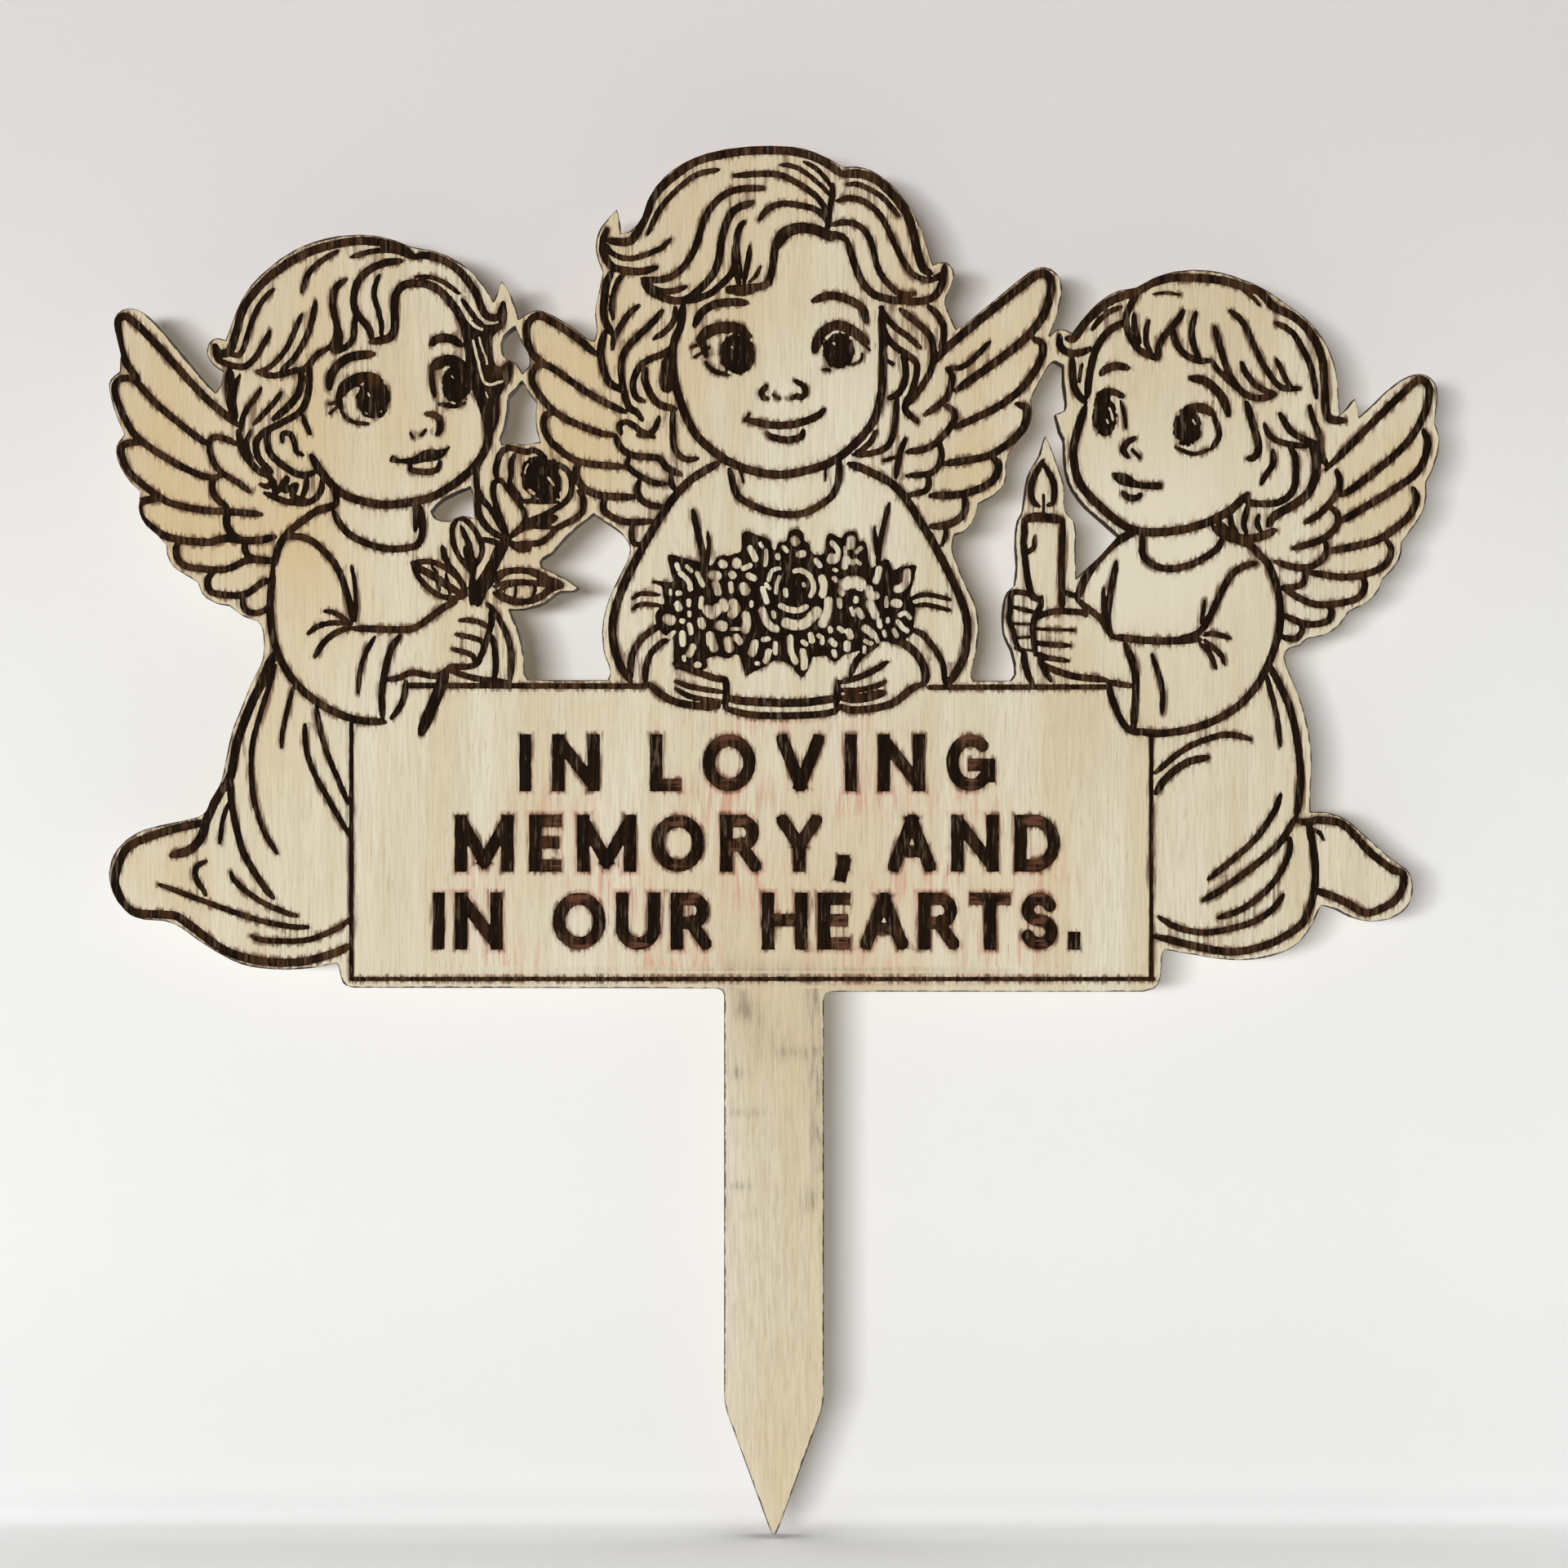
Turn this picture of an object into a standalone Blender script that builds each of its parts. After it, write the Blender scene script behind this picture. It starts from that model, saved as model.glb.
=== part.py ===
"""Wooden plaque on an integral ground stake: one laser-cut sheet of three-ply plywood.

Metres, +Z up. The sheet stands upright, its engraved face looks along -Y, the tip of
the stake is at Z = 0 and the stake's centre line is at X = 0. The three plies share one
outline and lie face to face with a thin glue line between them.
"""

import math

import bpy
from mathutils import Vector

MM = 0.001
FACE_PLY = 1.0 * MM
CORE_PLY = 1.8 * MM
BACK_PLY = 1.0 * MM
GLUE_LINE = 0.1 * MM

STAKE_HALF = 7.5
STAKE_SHOULDER = 20.0
PANEL_BOTTOM_LEFT = 82.2
PANEL_BOTTOM_RIGHT = 81.7
OPENING_BOTTOM = 128.5

STEPS_PER_SPAN = 8
CHORD_TOLERANCE = 0.06

# The outline runs clockwise seen from the front, in millimetres (x, z). Each stretch is a
# smooth curve through its points, and the sheet has a corner where two stretches meet.
OUTLINE = [
    # Stake: blunt tip, straight taper, rounded shoulder.
    [(0.0, 0.0), (-0.35, 0.35), (-0.9, 1.6)],
    [(-0.9, 1.6), (-7.0, 18.3)],
    [(-7.0, 18.3), (-7.38, STAKE_SHOULDER - 0.2), (-STAKE_HALF, 21.2)],
    [(-STAKE_HALF, 21.2), (-STAKE_HALF, PANEL_BOTTOM_LEFT - 1.0)],
    [(-STAKE_HALF, PANEL_BOTTOM_LEFT - 1.0), (-7.8, PANEL_BOTTOM_LEFT - 0.3),
     (-8.6, PANEL_BOTTOM_LEFT)],
    # Text panel, lower left.
    [(-8.6, PANEL_BOTTOM_LEFT), (-63.2, 82.3)],
    [(-63.2, 82.3), (-64.6, 82.8), (-65.1, 83.9), (-65.4, 85.5), (-65.8, 86.0)],
    # Left child: hem of the robe, foot, back.
    [(-65.8, 86.0), (-69.0, 85.3), (-73.0, 85.0), (-77.0, 85.2), (-80.0, 85.8),
     (-83.0, 87.2), (-86.5, 89.4), (-89.6, 91.6), (-91.6, 92.3), (-94.6, 92.5),
     (-97.0, 93.4), (-99.0, 95.8), (-99.9, 98.8), (-99.5, 101.6), (-97.9, 104.0),
     (-95.2, 105.8), (-91.4, 106.9), (-87.4, 107.7), (-85.6, 108.5), (-84.7, 110.4),
     (-83.1, 113.2), (-82.4, 116.5), (-81.4, 120.9), (-79.8, 125.0), (-78.2, 128.8),
     (-76.9, 131.4), (-76.6, 133.8), (-77.0, 136.6), (-77.7, 137.4)],
    # Left child: wing, from the lowest feather to the highest.
    [(-77.7, 137.4), (-79.6, 138.0), (-81.0, 139.0), (-81.9, 139.7)],
    [(-81.9, 139.7), (-84.0, 140.1), (-85.8, 141.3), (-86.6, 143.2)],
    [(-86.6, 143.2), (-88.4, 144.3), (-90.3, 145.6), (-91.2, 147.4), (-91.3, 148.8)],
    [(-91.3, 148.8), (-92.6, 150.2), (-94.6, 152.0), (-95.5, 154.2), (-95.2, 156.8)],
    [(-95.2, 156.8), (-97.0, 158.6), (-98.5, 161.2), (-98.8, 163.6), (-97.6, 165.4)],
    [(-97.6, 165.4), (-98.8, 168.2), (-99.7, 171.2), (-99.8, 173.4), (-98.3, 174.9)],
    [(-98.3, 174.9), (-98.2, 177.4), (-99.0, 180.6), (-99.1, 182.8), (-98.0, 184.1),
     (-96.2, 184.3), (-94.2, 183.3), (-91.0, 179.8), (-87.4, 175.4), (-84.5, 172.1),
     (-83.9, 171.7)],
    # Left child: curls and crown of the hair.
    [(-83.9, 171.7), (-83.1, 172.8), (-82.7, 174.8)],
    [(-82.7, 174.8), (-84.4, 176.0), (-85.2, 177.6), (-84.8, 179.3), (-83.6, 179.9),
     (-82.4, 179.6)],
    [(-82.4, 179.6), (-81.7, 181.4), (-80.4, 184.8), (-78.6, 187.8), (-76.2, 190.2),
     (-73.0, 192.6), (-69.0, 194.4), (-65.0, 195.3), (-61.0, 195.4), (-57.6, 194.8),
     (-54.4, 193.6), (-50.8, 192.9), (-47.6, 191.5), (-44.8, 189.2), (-43.0, 186.8),
     (-42.2, 185.4)],
    [(-42.2, 185.4), (-41.6, 186.6), (-41.0, 188.5)],
    [(-41.0, 188.5), (-39.9, 187.1), (-39.0, 184.8), (-38.4, 182.7)],
    # Centre child: wing on the left, then the hair.
    [(-38.4, 182.7), (-37.2, 183.5), (-35.6, 184.1), (-33.6, 183.5), (-30.4, 181.6),
     (-27.9, 179.7), (-27.0, 179.5)],
    [(-27.0, 179.5), (-26.6, 181.0), (-26.9, 183.6), (-26.3, 187.0), (-25.7, 189.8)],
    [(-25.7, 189.8), (-26.5, 191.8), (-26.8, 193.8), (-26.2, 196.2), (-24.8, 198.0),
     (-23.6, 199.2)],
    [(-23.6, 199.2), (-23.2, 197.4), (-23.1, 195.5)],
    [(-23.1, 195.5), (-21.6, 196.0), (-20.0, 197.8), (-18.9, 200.8), (-16.8, 203.8),
     (-13.6, 206.2), (-9.6, 207.8), (-5.0, 208.6), (0.0, 208.8), (4.4, 208.4),
     (8.0, 207.0), (10.4, 205.6)],
    [(10.4, 205.6), (12.4, 205.7), (14.8, 205.0), (17.6, 203.0), (20.0, 200.2),
     (21.8, 197.0), (22.9, 193.8), (23.9, 190.9)],
    [(23.9, 190.9), (24.9, 191.3), (26.1, 191.2), (27.0, 190.0), (26.9, 188.4),
     (26.0, 186.4), (25.8, 184.9), (26.6, 182.9), (27.4, 181.2)],
    # Centre child: wing on the right.
    [(27.4, 181.2), (29.0, 182.2), (33.0, 185.5), (37.0, 188.8), (39.4, 190.4),
     (41.4, 190.4), (42.9, 189.0), (43.3, 187.0), (42.8, 184.4), (42.0, 181.8),
     (41.4, 180.2)],
    # Right child: curl, crown of the hair, curl at the back.
    [(41.4, 180.2), (42.5, 181.2), (43.6, 181.2), (44.8, 180.7)],
    [(44.8, 180.7), (46.4, 182.8), (48.8, 185.3), (51.4, 186.9), (54.4, 187.5),
     (57.2, 189.0), (60.8, 190.0), (65.0, 190.1), (69.2, 189.2), (73.4, 187.4),
     (77.2, 184.9), (80.4, 182.4), (82.8, 179.3), (84.2, 176.0), (84.8, 172.0),
     (85.0, 168.3)],
    [(85.0, 168.3), (86.2, 169.3), (87.3, 170.8)],
    [(87.3, 170.8), (87.7, 169.6), (87.9, 167.9)],
    # Right child: wing, from the highest feather to the lowest.
    [(87.9, 167.9), (90.2, 170.0), (93.0, 172.7), (95.4, 174.2), (97.8, 174.4),
     (99.4, 173.0), (99.7, 170.6), (99.2, 167.2)],
    [(99.2, 167.2), (99.9, 165.4), (99.8, 162.8), (98.9, 160.0), (98.0, 158.2)],
    [(98.0, 158.2), (98.0, 155.8), (97.2, 153.2), (95.6, 151.0), (94.3, 149.2)],
    [(94.3, 149.2), (94.2, 147.2), (93.0, 145.2), (91.4, 143.6)],
    [(91.4, 143.6), (90.6, 141.6), (88.6, 139.9), (86.4, 138.8)],
    [(86.4, 138.8), (84.9, 136.7), (82.8, 135.3), (80.2, 134.8)],
    # Right child: back, feet, hem of the robe.
    [(80.2, 134.8), (79.0, 133.7), (77.4, 133.2), (76.7, 132.0), (77.6, 129.2),
     (79.2, 125.2), (80.3, 121.0), (80.8, 116.5), (80.6, 111.6), (80.6, 108.7)],
    [(80.6, 108.7), (83.4, 108.6), (86.2, 107.4), (89.2, 104.8), (92.8, 101.6),
     (95.2, 99.9), (96.0, 97.6), (95.4, 94.8), (93.4, 93.0), (90.2, 92.2),
     (87.2, 92.7), (84.6, 94.0), (82.2, 94.7)],
    [(82.2, 94.7), (81.0, 92.0), (79.0, 89.2), (76.4, 87.6), (72.6, 86.6),
     (68.0, 86.5), (63.2, 87.2), (58.7, 88.0)],
    # Text panel, lower right, and the other side of the stake.
    [(58.7, 88.0), (58.3, 87.2), (58.1, 84.0), (57.3, 82.3), (55.6, PANEL_BOTTOM_RIGHT)],
    [(55.6, PANEL_BOTTOM_RIGHT), (8.6, PANEL_BOTTOM_RIGHT)],
    [(8.6, PANEL_BOTTOM_RIGHT), (7.8, PANEL_BOTTOM_RIGHT - 0.3),
     (STAKE_HALF, PANEL_BOTTOM_RIGHT - 1.0)],
    [(STAKE_HALF, PANEL_BOTTOM_RIGHT - 1.0), (STAKE_HALF, 21.2)],
    [(STAKE_HALF, 21.2), (7.38, STAKE_SHOULDER - 0.2), (7.0, 18.3)],
    [(7.0, 18.3), (0.9, 1.6)],
    [(0.9, 1.6), (0.35, 0.35), (0.0, 0.0)],
]

# Openings cut right through the sheet, in the same form.
OPENINGS = [
    # Between the left child's curls and the centre child's wing.
    [[(-41.0, 179.0), (-40.3, 180.6), (-38.9, 181.6)],
     [(-38.9, 181.6), (-38.0, 179.4), (-36.9, 177.5), (-36.8, 175.8), (-37.8, 174.6)],
     [(-37.8, 174.6), (-38.6, 176.0), (-39.6, 176.5)],
     [(-39.6, 176.5), (-40.7, 177.2), (-41.0, 179.0)]],
    # Between the left child's cheek and the same wing, above the rose.
    [[(-37.9, 173.4), (-36.8, 171.6), (-35.6, 170.1)],
     [(-35.6, 170.1), (-35.8, 168.2), (-35.7, 166.2), (-35.2, 164.3)],
     [(-35.2, 164.3), (-37.4, 163.9), (-39.4, 164.1), (-40.9, 163.9)],
     [(-40.9, 163.9), (-41.2, 164.6), (-40.6, 166.0), (-40.1, 168.4), (-39.9, 171.2)],
     [(-39.9, 171.2), (-38.8, 172.3), (-37.9, 173.4)]],
    # Under the left child's chin.
    [[(-45.6, 157.6), (-45.2, 155.4), (-45.0, 152.8)],
     [(-45.0, 152.8), (-46.8, 153.2), (-49.0, 152.4), (-50.8, 152.8), (-51.6, 153.8)],
     [(-51.6, 153.8), (-50.2, 155.4), (-47.8, 156.7), (-45.6, 157.6)]],
    # Between the rose and the centre child's sleeve.
    [[(-36.9, OPENING_BOTTOM), (-37.5, 129.4), (-37.6, 132.0), (-38.3, 135.4),
      (-39.4, 138.0), (-39.8, 139.1)],
     [(-39.8, 139.1), (-37.4, 139.2), (-34.6, 140.0), (-32.4, 141.6), (-29.9, 141.9),
      (-29.3, 142.4)],
     [(-29.3, 142.4), (-31.2, 143.7), (-34.9, 145.5)],
     [(-34.9, 145.5), (-35.0, 146.5), (-33.4, 147.6), (-31.8, 149.4), (-29.6, 151.6),
      (-27.1, 153.5)],
     [(-27.1, 153.5), (-25.0, 152.0), (-22.9, 150.5), (-21.7, 148.6), (-21.9, 146.8),
      (-23.6, 143.4), (-24.9, 140.4), (-25.8, 136.6), (-25.6, 132.8), (-24.6, 129.8),
      (-25.0, OPENING_BOTTOM)],
     [(-25.0, OPENING_BOTTOM), (-36.9, OPENING_BOTTOM)]],
    # Between the centre child's wing and the candle, round the flame to the shoulder.
    [[(30.0, 128.4), (29.6, 129.6), (30.4, 132.6), (30.8, 136.6), (30.2, 140.0),
      (28.6, 143.2), (27.4, 146.2), (26.8, 148.2), (27.1, 150.3)],
     [(27.1, 150.3), (29.0, 151.2), (30.1, 152.9), (30.7, 155.1)],
     [(30.7, 155.1), (33.0, 156.3), (34.8, 158.4), (34.9, 161.4), (36.0, 163.7),
      (38.0, 166.0), (38.8, 168.2), (38.6, 170.7)],
     [(38.6, 170.7), (40.0, 173.6), (41.3, 175.8), (42.2, 176.5), (43.5, 175.8)],
     [(43.5, 175.8), (43.5, 173.0), (43.9, 170.4)],
     [(43.9, 170.4), (43.7, 169.1), (42.3, 168.5)],
     [(42.3, 168.5), (42.9, 166.0), (43.6, 164.6)],
     [(43.6, 164.6), (43.7, 161.4), (44.3, 158.4), (46.2, 155.3), (49.0, 152.6),
      (51.8, 150.2)],
     [(51.8, 150.2), (50.0, 148.1), (47.2, 145.4), (45.4, 143.8)],
     [(45.4, 143.8), (45.3, 148.0), (45.2, 152.0), (43.7, 154.0), (43.6, 157.6),
      (42.8, 160.2), (41.8, 163.0), (40.8, 165.2)],
     [(40.8, 165.2), (39.9, 162.4), (38.3, 159.6), (37.7, 156.6), (37.4, 154.0)],
     [(37.4, 154.0), (36.6, 152.4), (36.3, 149.0), (36.5, 145.6), (36.2, 142.8)],
     [(36.2, 142.8), (35.0, 141.6), (34.4, 138.9), (34.6, 135.4), (35.8, 132.6),
      (36.3, 129.6), (35.6, 128.4)],
     [(35.6, 128.4), (30.0, 128.4)]],
]


def between(before, start, end, after, step):
    """A point on the cubic through start and end, with the slopes that its neighbours give."""
    reach = (end - start).length
    into = (end - before).normalized() * reach
    out = (after - start).normalized() * reach
    square = step * step
    cube = square * step
    return (
        (2 * cube - 3 * square + 1) * start
        + (cube - 2 * square + step) * into
        + (3 * square - 2 * cube) * end
        + (cube - square) * out
    )


def smooth(stretch):
    """The curve through one stretch's points, as a dense run of points without its last."""
    points = [Vector(point) for point in stretch]
    if len(points) == 2:
        return points[:1]
    first = points[0] + (points[0] - points[1])
    last = points[-1] + (points[-1] - points[-2])
    padded = [first, *points, last]
    run = []
    for index in range(1, len(padded) - 2):
        for step in range(STEPS_PER_SPAN):
            run.append(between(*padded[index - 1:index + 3], step / STEPS_PER_SPAN))
    return run


def thinned(points):
    """The same run without the points that a straight chord replaces within the tolerance."""
    start, end = points[0], points[-1]
    chord = end - start
    length = max(chord.length, 1e-9)
    offsets = []
    for point in points:
        away = point - start
        offsets.append(abs(chord.x * away.y - chord.y * away.x) / length)
    farthest = max(offsets)
    if farthest <= CHORD_TOLERANCE:
        return [start, end]
    middle = offsets.index(farthest)
    return thinned(points[:middle + 1])[:-1] + thinned(points[middle:])


def closed_loop(stretches):
    """One closed line of points in millimetres, corners kept and curves thinned."""
    loop = []
    for stretch in stretches:
        run = smooth(stretch) + [Vector(stretch[-1])]
        loop += thinned(run)[:-1]
    return loop


def add_loop(curve, loop):
    spline = curve.splines.new("POLY")
    spline.points.add(len(loop) - 1)
    for target, point in zip(spline.points, loop):
        target.co = (point.x * MM, point.y * MM, 0.0, 1.0)
    spline.use_cyclic_u = True


def material(name, colour, roughness):
    made = bpy.data.materials.new(name)
    made.use_nodes = True
    shader = made.node_tree.nodes["Principled BSDF"]
    shader.inputs["Base Color"].default_value = (*colour, 1.0)
    shader.inputs["Roughness"].default_value = roughness
    shader.inputs["Metallic"].default_value = 0.0
    made.diffuse_color = (*colour, 1.0)
    return made


def ply(name, loops, front, thickness, wood):
    """One ply of the sheet: the outline, with its openings, from y = front backwards."""
    curve = bpy.data.curves.new(name, "CURVE")
    curve.dimensions = "2D"
    curve.fill_mode = "BOTH"
    curve.extrude = thickness / 2
    for loop in loops:
        add_loop(curve, loop)
    made = bpy.data.objects.new(name, curve)
    made.rotation_euler = (math.pi / 2, 0.0, 0.0)
    made.location = (0.0, front + thickness / 2, 0.0)
    weld = made.modifiers.new("weld the caps to the cut edge", "WELD")
    weld.merge_threshold = 0.00001
    curve.materials.append(wood)
    plaque.objects.link(made)
    return made


for leftover in list(bpy.data.objects):
    bpy.data.objects.remove(leftover)

plaque = bpy.data.collections.new("memorial_stake_plaque")
bpy.context.scene.collection.children.link(plaque)

loops = [closed_loop(OUTLINE)]
for opening in OPENINGS:
    loops.append(closed_loop(opening))

thickness = FACE_PLY + CORE_PLY + BACK_PLY + 2 * GLUE_LINE
face_front = -thickness / 2
core_front = face_front + FACE_PLY + GLUE_LINE
back_front = core_front + CORE_PLY + GLUE_LINE

ply("face_veneer", loops, face_front, FACE_PLY, material("face_birch", (0.72, 0.60, 0.42), 0.62))
ply("core_ply", loops, core_front, CORE_PLY, material("core_birch", (0.60, 0.44, 0.27), 0.74))
ply("back_veneer", loops, back_front, BACK_PLY, material("back_birch", (0.70, 0.57, 0.40), 0.66))
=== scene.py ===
"""Looks of the memorial stake plaque: laser-engraved, laser-cut birch plywood before a pale backdrop.

The drawing is a set of strokes, given in millimetres in the part's own frame. They become one signed
distance field, whose contours are cut into the front ply as grooves. The outline is the CAD ply's.
"""
import math

import bpy
import numpy as np
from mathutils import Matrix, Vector
from mathutils.geometry import delaunay_2d_cdt


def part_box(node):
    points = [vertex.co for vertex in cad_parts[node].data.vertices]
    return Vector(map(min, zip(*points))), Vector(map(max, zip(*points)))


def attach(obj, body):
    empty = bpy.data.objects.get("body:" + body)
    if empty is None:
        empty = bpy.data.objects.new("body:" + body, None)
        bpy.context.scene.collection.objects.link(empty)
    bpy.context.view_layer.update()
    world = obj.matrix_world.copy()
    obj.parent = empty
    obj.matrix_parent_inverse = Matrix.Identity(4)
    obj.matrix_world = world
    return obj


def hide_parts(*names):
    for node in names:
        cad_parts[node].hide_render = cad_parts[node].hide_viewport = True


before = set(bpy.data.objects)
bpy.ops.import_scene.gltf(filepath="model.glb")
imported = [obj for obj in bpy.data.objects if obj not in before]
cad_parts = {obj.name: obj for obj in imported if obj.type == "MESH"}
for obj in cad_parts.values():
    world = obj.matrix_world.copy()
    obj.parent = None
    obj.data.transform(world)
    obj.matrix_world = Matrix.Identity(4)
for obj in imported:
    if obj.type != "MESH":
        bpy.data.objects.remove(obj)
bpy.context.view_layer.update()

MM = 0.001

# Lengths are in mm from here to the stage, unless a comment says otherwise.
GRID = 0.16  # spacing of the distance fields' nodes
REACH = 0.7  # how far outside a stroke its distance is filled in
FAR = 9.0  # the value of a node that nothing is near
FIELD_MARGIN = 2.5  # how far the fields go past the outline
ENGRAVED_FROM = 60.0  # the engraving field's lowest Z
PLAIN_BELOW = ENGRAVED_FROM + 1  # the face is left plain below this Z

GROOVE_DEPTH = 0.28
WALL_WIDTH = 0.12  # the groove reaches its full depth this far inside its edge
CONTOUR_TOLERANCE = 0.03  # for the grooves' edges
SOFT_TOLERANCE = 0.08  # for the contours that only carry colour and depth
SHORTEST_LOOP = 5  # a contour with no more points than this is left out
RAGGEDNESS = 0.09  # how far the grain pulls a groove's edge
SCRIBBLE = 0.45  # the same where an area is filled by scribbling
LIGHT_SPREAD = 0.14  # the bouquet's light marks are this much wider on each side
FINE_SPREAD = 0.05  # the same for the fine light marks in the hair, the eyes and the rose
BURN_SPREAD = 0.09  # every groove is this much wider than its line in the drawing
TIP_SHARE = 0.6  # a stroke's ends narrow to this share of its width
TIP_LENGTH = 1.4  # and do so over this length
AREA_ACROSS = 0.4  # how far a filled area counts as drawn across the grain, from 0 to 1
ROUND_POINTS = 28  # on an iris
ARC_POINTS = 24  # on an arc of a letter

HALO = 0.8  # how far the wood is browned beside a groove
HALO_STEP = 0.28  # one more contour, so that the browning falls off in narrow gaps too
NARROW_HALO = 0.4  # the browning's share that is left in the narrowest gaps
ROOM_NODES = 5  # a gap is narrow if nothing farther from a groove lies within this many nodes
SMOKE_NODES = 15  # smoke reaches this many nodes above and below a groove
RIM = 0.3  # the face is charred this far from the cut edge
HEAT = REACH - 0.05  # and browned this far

SPREAD = 1.8  # spacing of extra points on the face, which carry its slow changes of colour
STAKE_SPREAD = 0.55  # the same on the stake, where the smudges are narrow
STAKE_LOW = (-7, 20)  # corners of the stake's parallel part
STAKE_HIGH = (7, 86)

# The drawing's lines: each stroke is (width, point, point, ...), each point (x, z).
LEFT_ROBE = [
    (1.1, (-75.3, 145), (-75.7, 138), (-74.6, 132.7), (-72, 128.2), (-68, 124.8), (-63, 122.6),
     (-58.5, 122.2)),
    (0.9, (-57.5, 122.8), (-56.5, 124), (-55.6, 126), (-55.3, 128.3)),
    (1.3, (-75, 132.5), (-75.8, 131), (-77, 128), (-78.5, 125), (-80.7, 119), (-81.7, 114),
     (-83.6, 111), (-85.3, 107.3), (-85.8, 105.5), (-86.5, 104.2), (-88, 102.9), (-90.5, 102.2)),
    (1, (-81.7, 114), (-81.5, 110), (-80.2, 104), (-79, 101.2), (-76.3, 97), (-75.2, 95.8)),
    (0.8, (-74.9, 130.7), (-78, 120.5), (-78.5, 117), (-78.2, 111), (-76.7, 106), (-74.7, 102.5)),
    (0.7, (-82, 110), (-82.8, 107.5), (-83.3, 104)),
    (1.2, (-85.5, 107.2), (-91, 105.9), (-96.5, 103.8), (-98, 102), (-99, 98.3), (-97.8, 95),
     (-96.5, 93.8), (-95, 93.4), (-90.5, 93.2), (-89, 92.6), (-82.5, 87.9), (-77, 86.3), (-71, 86.2),
     (-66, 87.5), (-63.8, 88.6)),
    (0.8, (-85.3, 101.3), (-86.6, 100.6), (-87, 99.5), (-86.6, 98.2), (-85.7, 96.9), (-85.4, 96.2)),
    (0.8, (-92.4, 97.8), (-78, 92.6), (-72, 91.4), (-70, 91.4)),
    (0.8, (-81.6, 99.6), (-81, 98.3), (-77.5, 95.5), (-73, 93.4), (-71.6, 93.1)),
    (0.8, (-78.5, 90.1), (-77.5, 89.6), (-75, 89.3), (-70, 89.5), (-66, 91), (-64.5, 91.9),
     (-63.8, 92.6)),
    (0.7, (-72.2, 127.5), (-73.8, 121), (-74, 118.4)),
    (0.8, (-70.5, 121.8), (-70.3, 118.5), (-69.7, 116), (-68.3, 113), (-63.7, 105)),
    (0.8, (-68.8, 124.5), (-68.3, 121.5), (-67.3, 118), (-64, 110)),
]

LEFT_ARM = [
    (1, (-63.5, 136.3), (-55, 136.1), (-53.5, 136.6), (-49.5, 139.5), (-47.8, 140.2)),
    (0.8, (-67.5, 138.9), (-66.3, 138.7), (-63.4, 137)),
    (0.8, (-70, 135.5), (-68.5, 136.6), (-66.5, 137.1), (-63.5, 137)),
    (0.9, (-69, 132), (-68, 133.7), (-66.5, 135.2), (-65, 136), (-63.5, 136.3)),
    (0.7, (-60, 135), (-61.3, 132.7), (-62.1, 130.2), (-62.5, 126.6)),
    (1, (-56.2, 135.2), (-57.6, 133), (-58.9, 127), (-58.8, 122.8)),
    (0.9, (-58.2, 128.6), (-56.5, 128.8), (-54.5, 129.6), (-51, 129.1), (-49.5, 129.7), (-48.5, 130.4),
     (-46, 130.6)),
    (0.8, (-47.2, 137.5), (-45.5, 137.5), (-43.8, 137), (-42.6, 136.2)),
    (0.8, (-47.8, 135.4), (-44.4, 134.6), (-43.3, 133.8)),
    (0.8, (-48.3, 133.2), (-45.3, 132.2), (-45, 131.1)),
    (0.9, (-42.6, 138.8), (-42.5, 137), (-44.3, 131.5), (-45.5, 130.6), (-48.8, 130.6)),
    (0.9, (-43, 140), (-41.3, 137.7), (-40, 134.8), (-39.4, 132), (-39.7, 128.3)),
    (0.9, (-43, 135.6), (-42.2, 134.5), (-41.8, 130.3), (-42.2, 128.5)),
    (0.9, (-48.5, 129.8), (-44.5, 128.7), (-40, 128.2)),
    (1.7, (-49.3, 129.5), (-51.6, 123.9), (-53, 120.6)),
    (1.4, (-45, 140.2), (-44.6, 142), (-42.3, 146), (-41.4, 148), (-40.4, 149.5)),
    (0.9, (-45.5, 140), (-45.4, 143), (-45.2, 146), (-46, 149)),
    (0.9, (-49.8, 148.5), (-49.3, 146.5), (-47.5, 144), (-46.5, 142)),
    (0.9, (-43, 142.3), (-42, 144), (-40, 144.9), (-36, 144.8), (-34.5, 144), (-32, 142.8),
     (-33.5, 142.4), (-35, 141.2), (-36.5, 140.5), (-38.5, 140.2), (-40.5, 140.7), (-42, 141.6)),
    (0.7, (-42, 142.6), (-40, 143.2), (-37.5, 143.3), (-32.5, 142.8)),
]

LEFT_SHOULDER = [
    (1.1, (-75.3, 145.5), (-73.7, 149.8), (-68.8, 153.9), (-67, 154.5), (-65.8, 155)),
    (1, (-73.5, 150), (-72, 150.1), (-70.3, 149.8), (-68.5, 148.7), (-65.8, 145.7), (-64, 141),
     (-63.3, 137.5)),
    (0.6, (-63.5, 145.7), (-63, 143), (-62.8, 140), (-62.9, 137.3)),
    (1, (-66.2, 153.8), (-65, 151.7), (-63.2, 150), (-58.5, 148.3), (-54, 148.6), (-53, 149.8),
     (-52.8, 152), (-53.3, 154.8)),
    (0.9, (-54, 154.8), (-53.8, 152.8), (-53.9, 151)),
]

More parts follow.
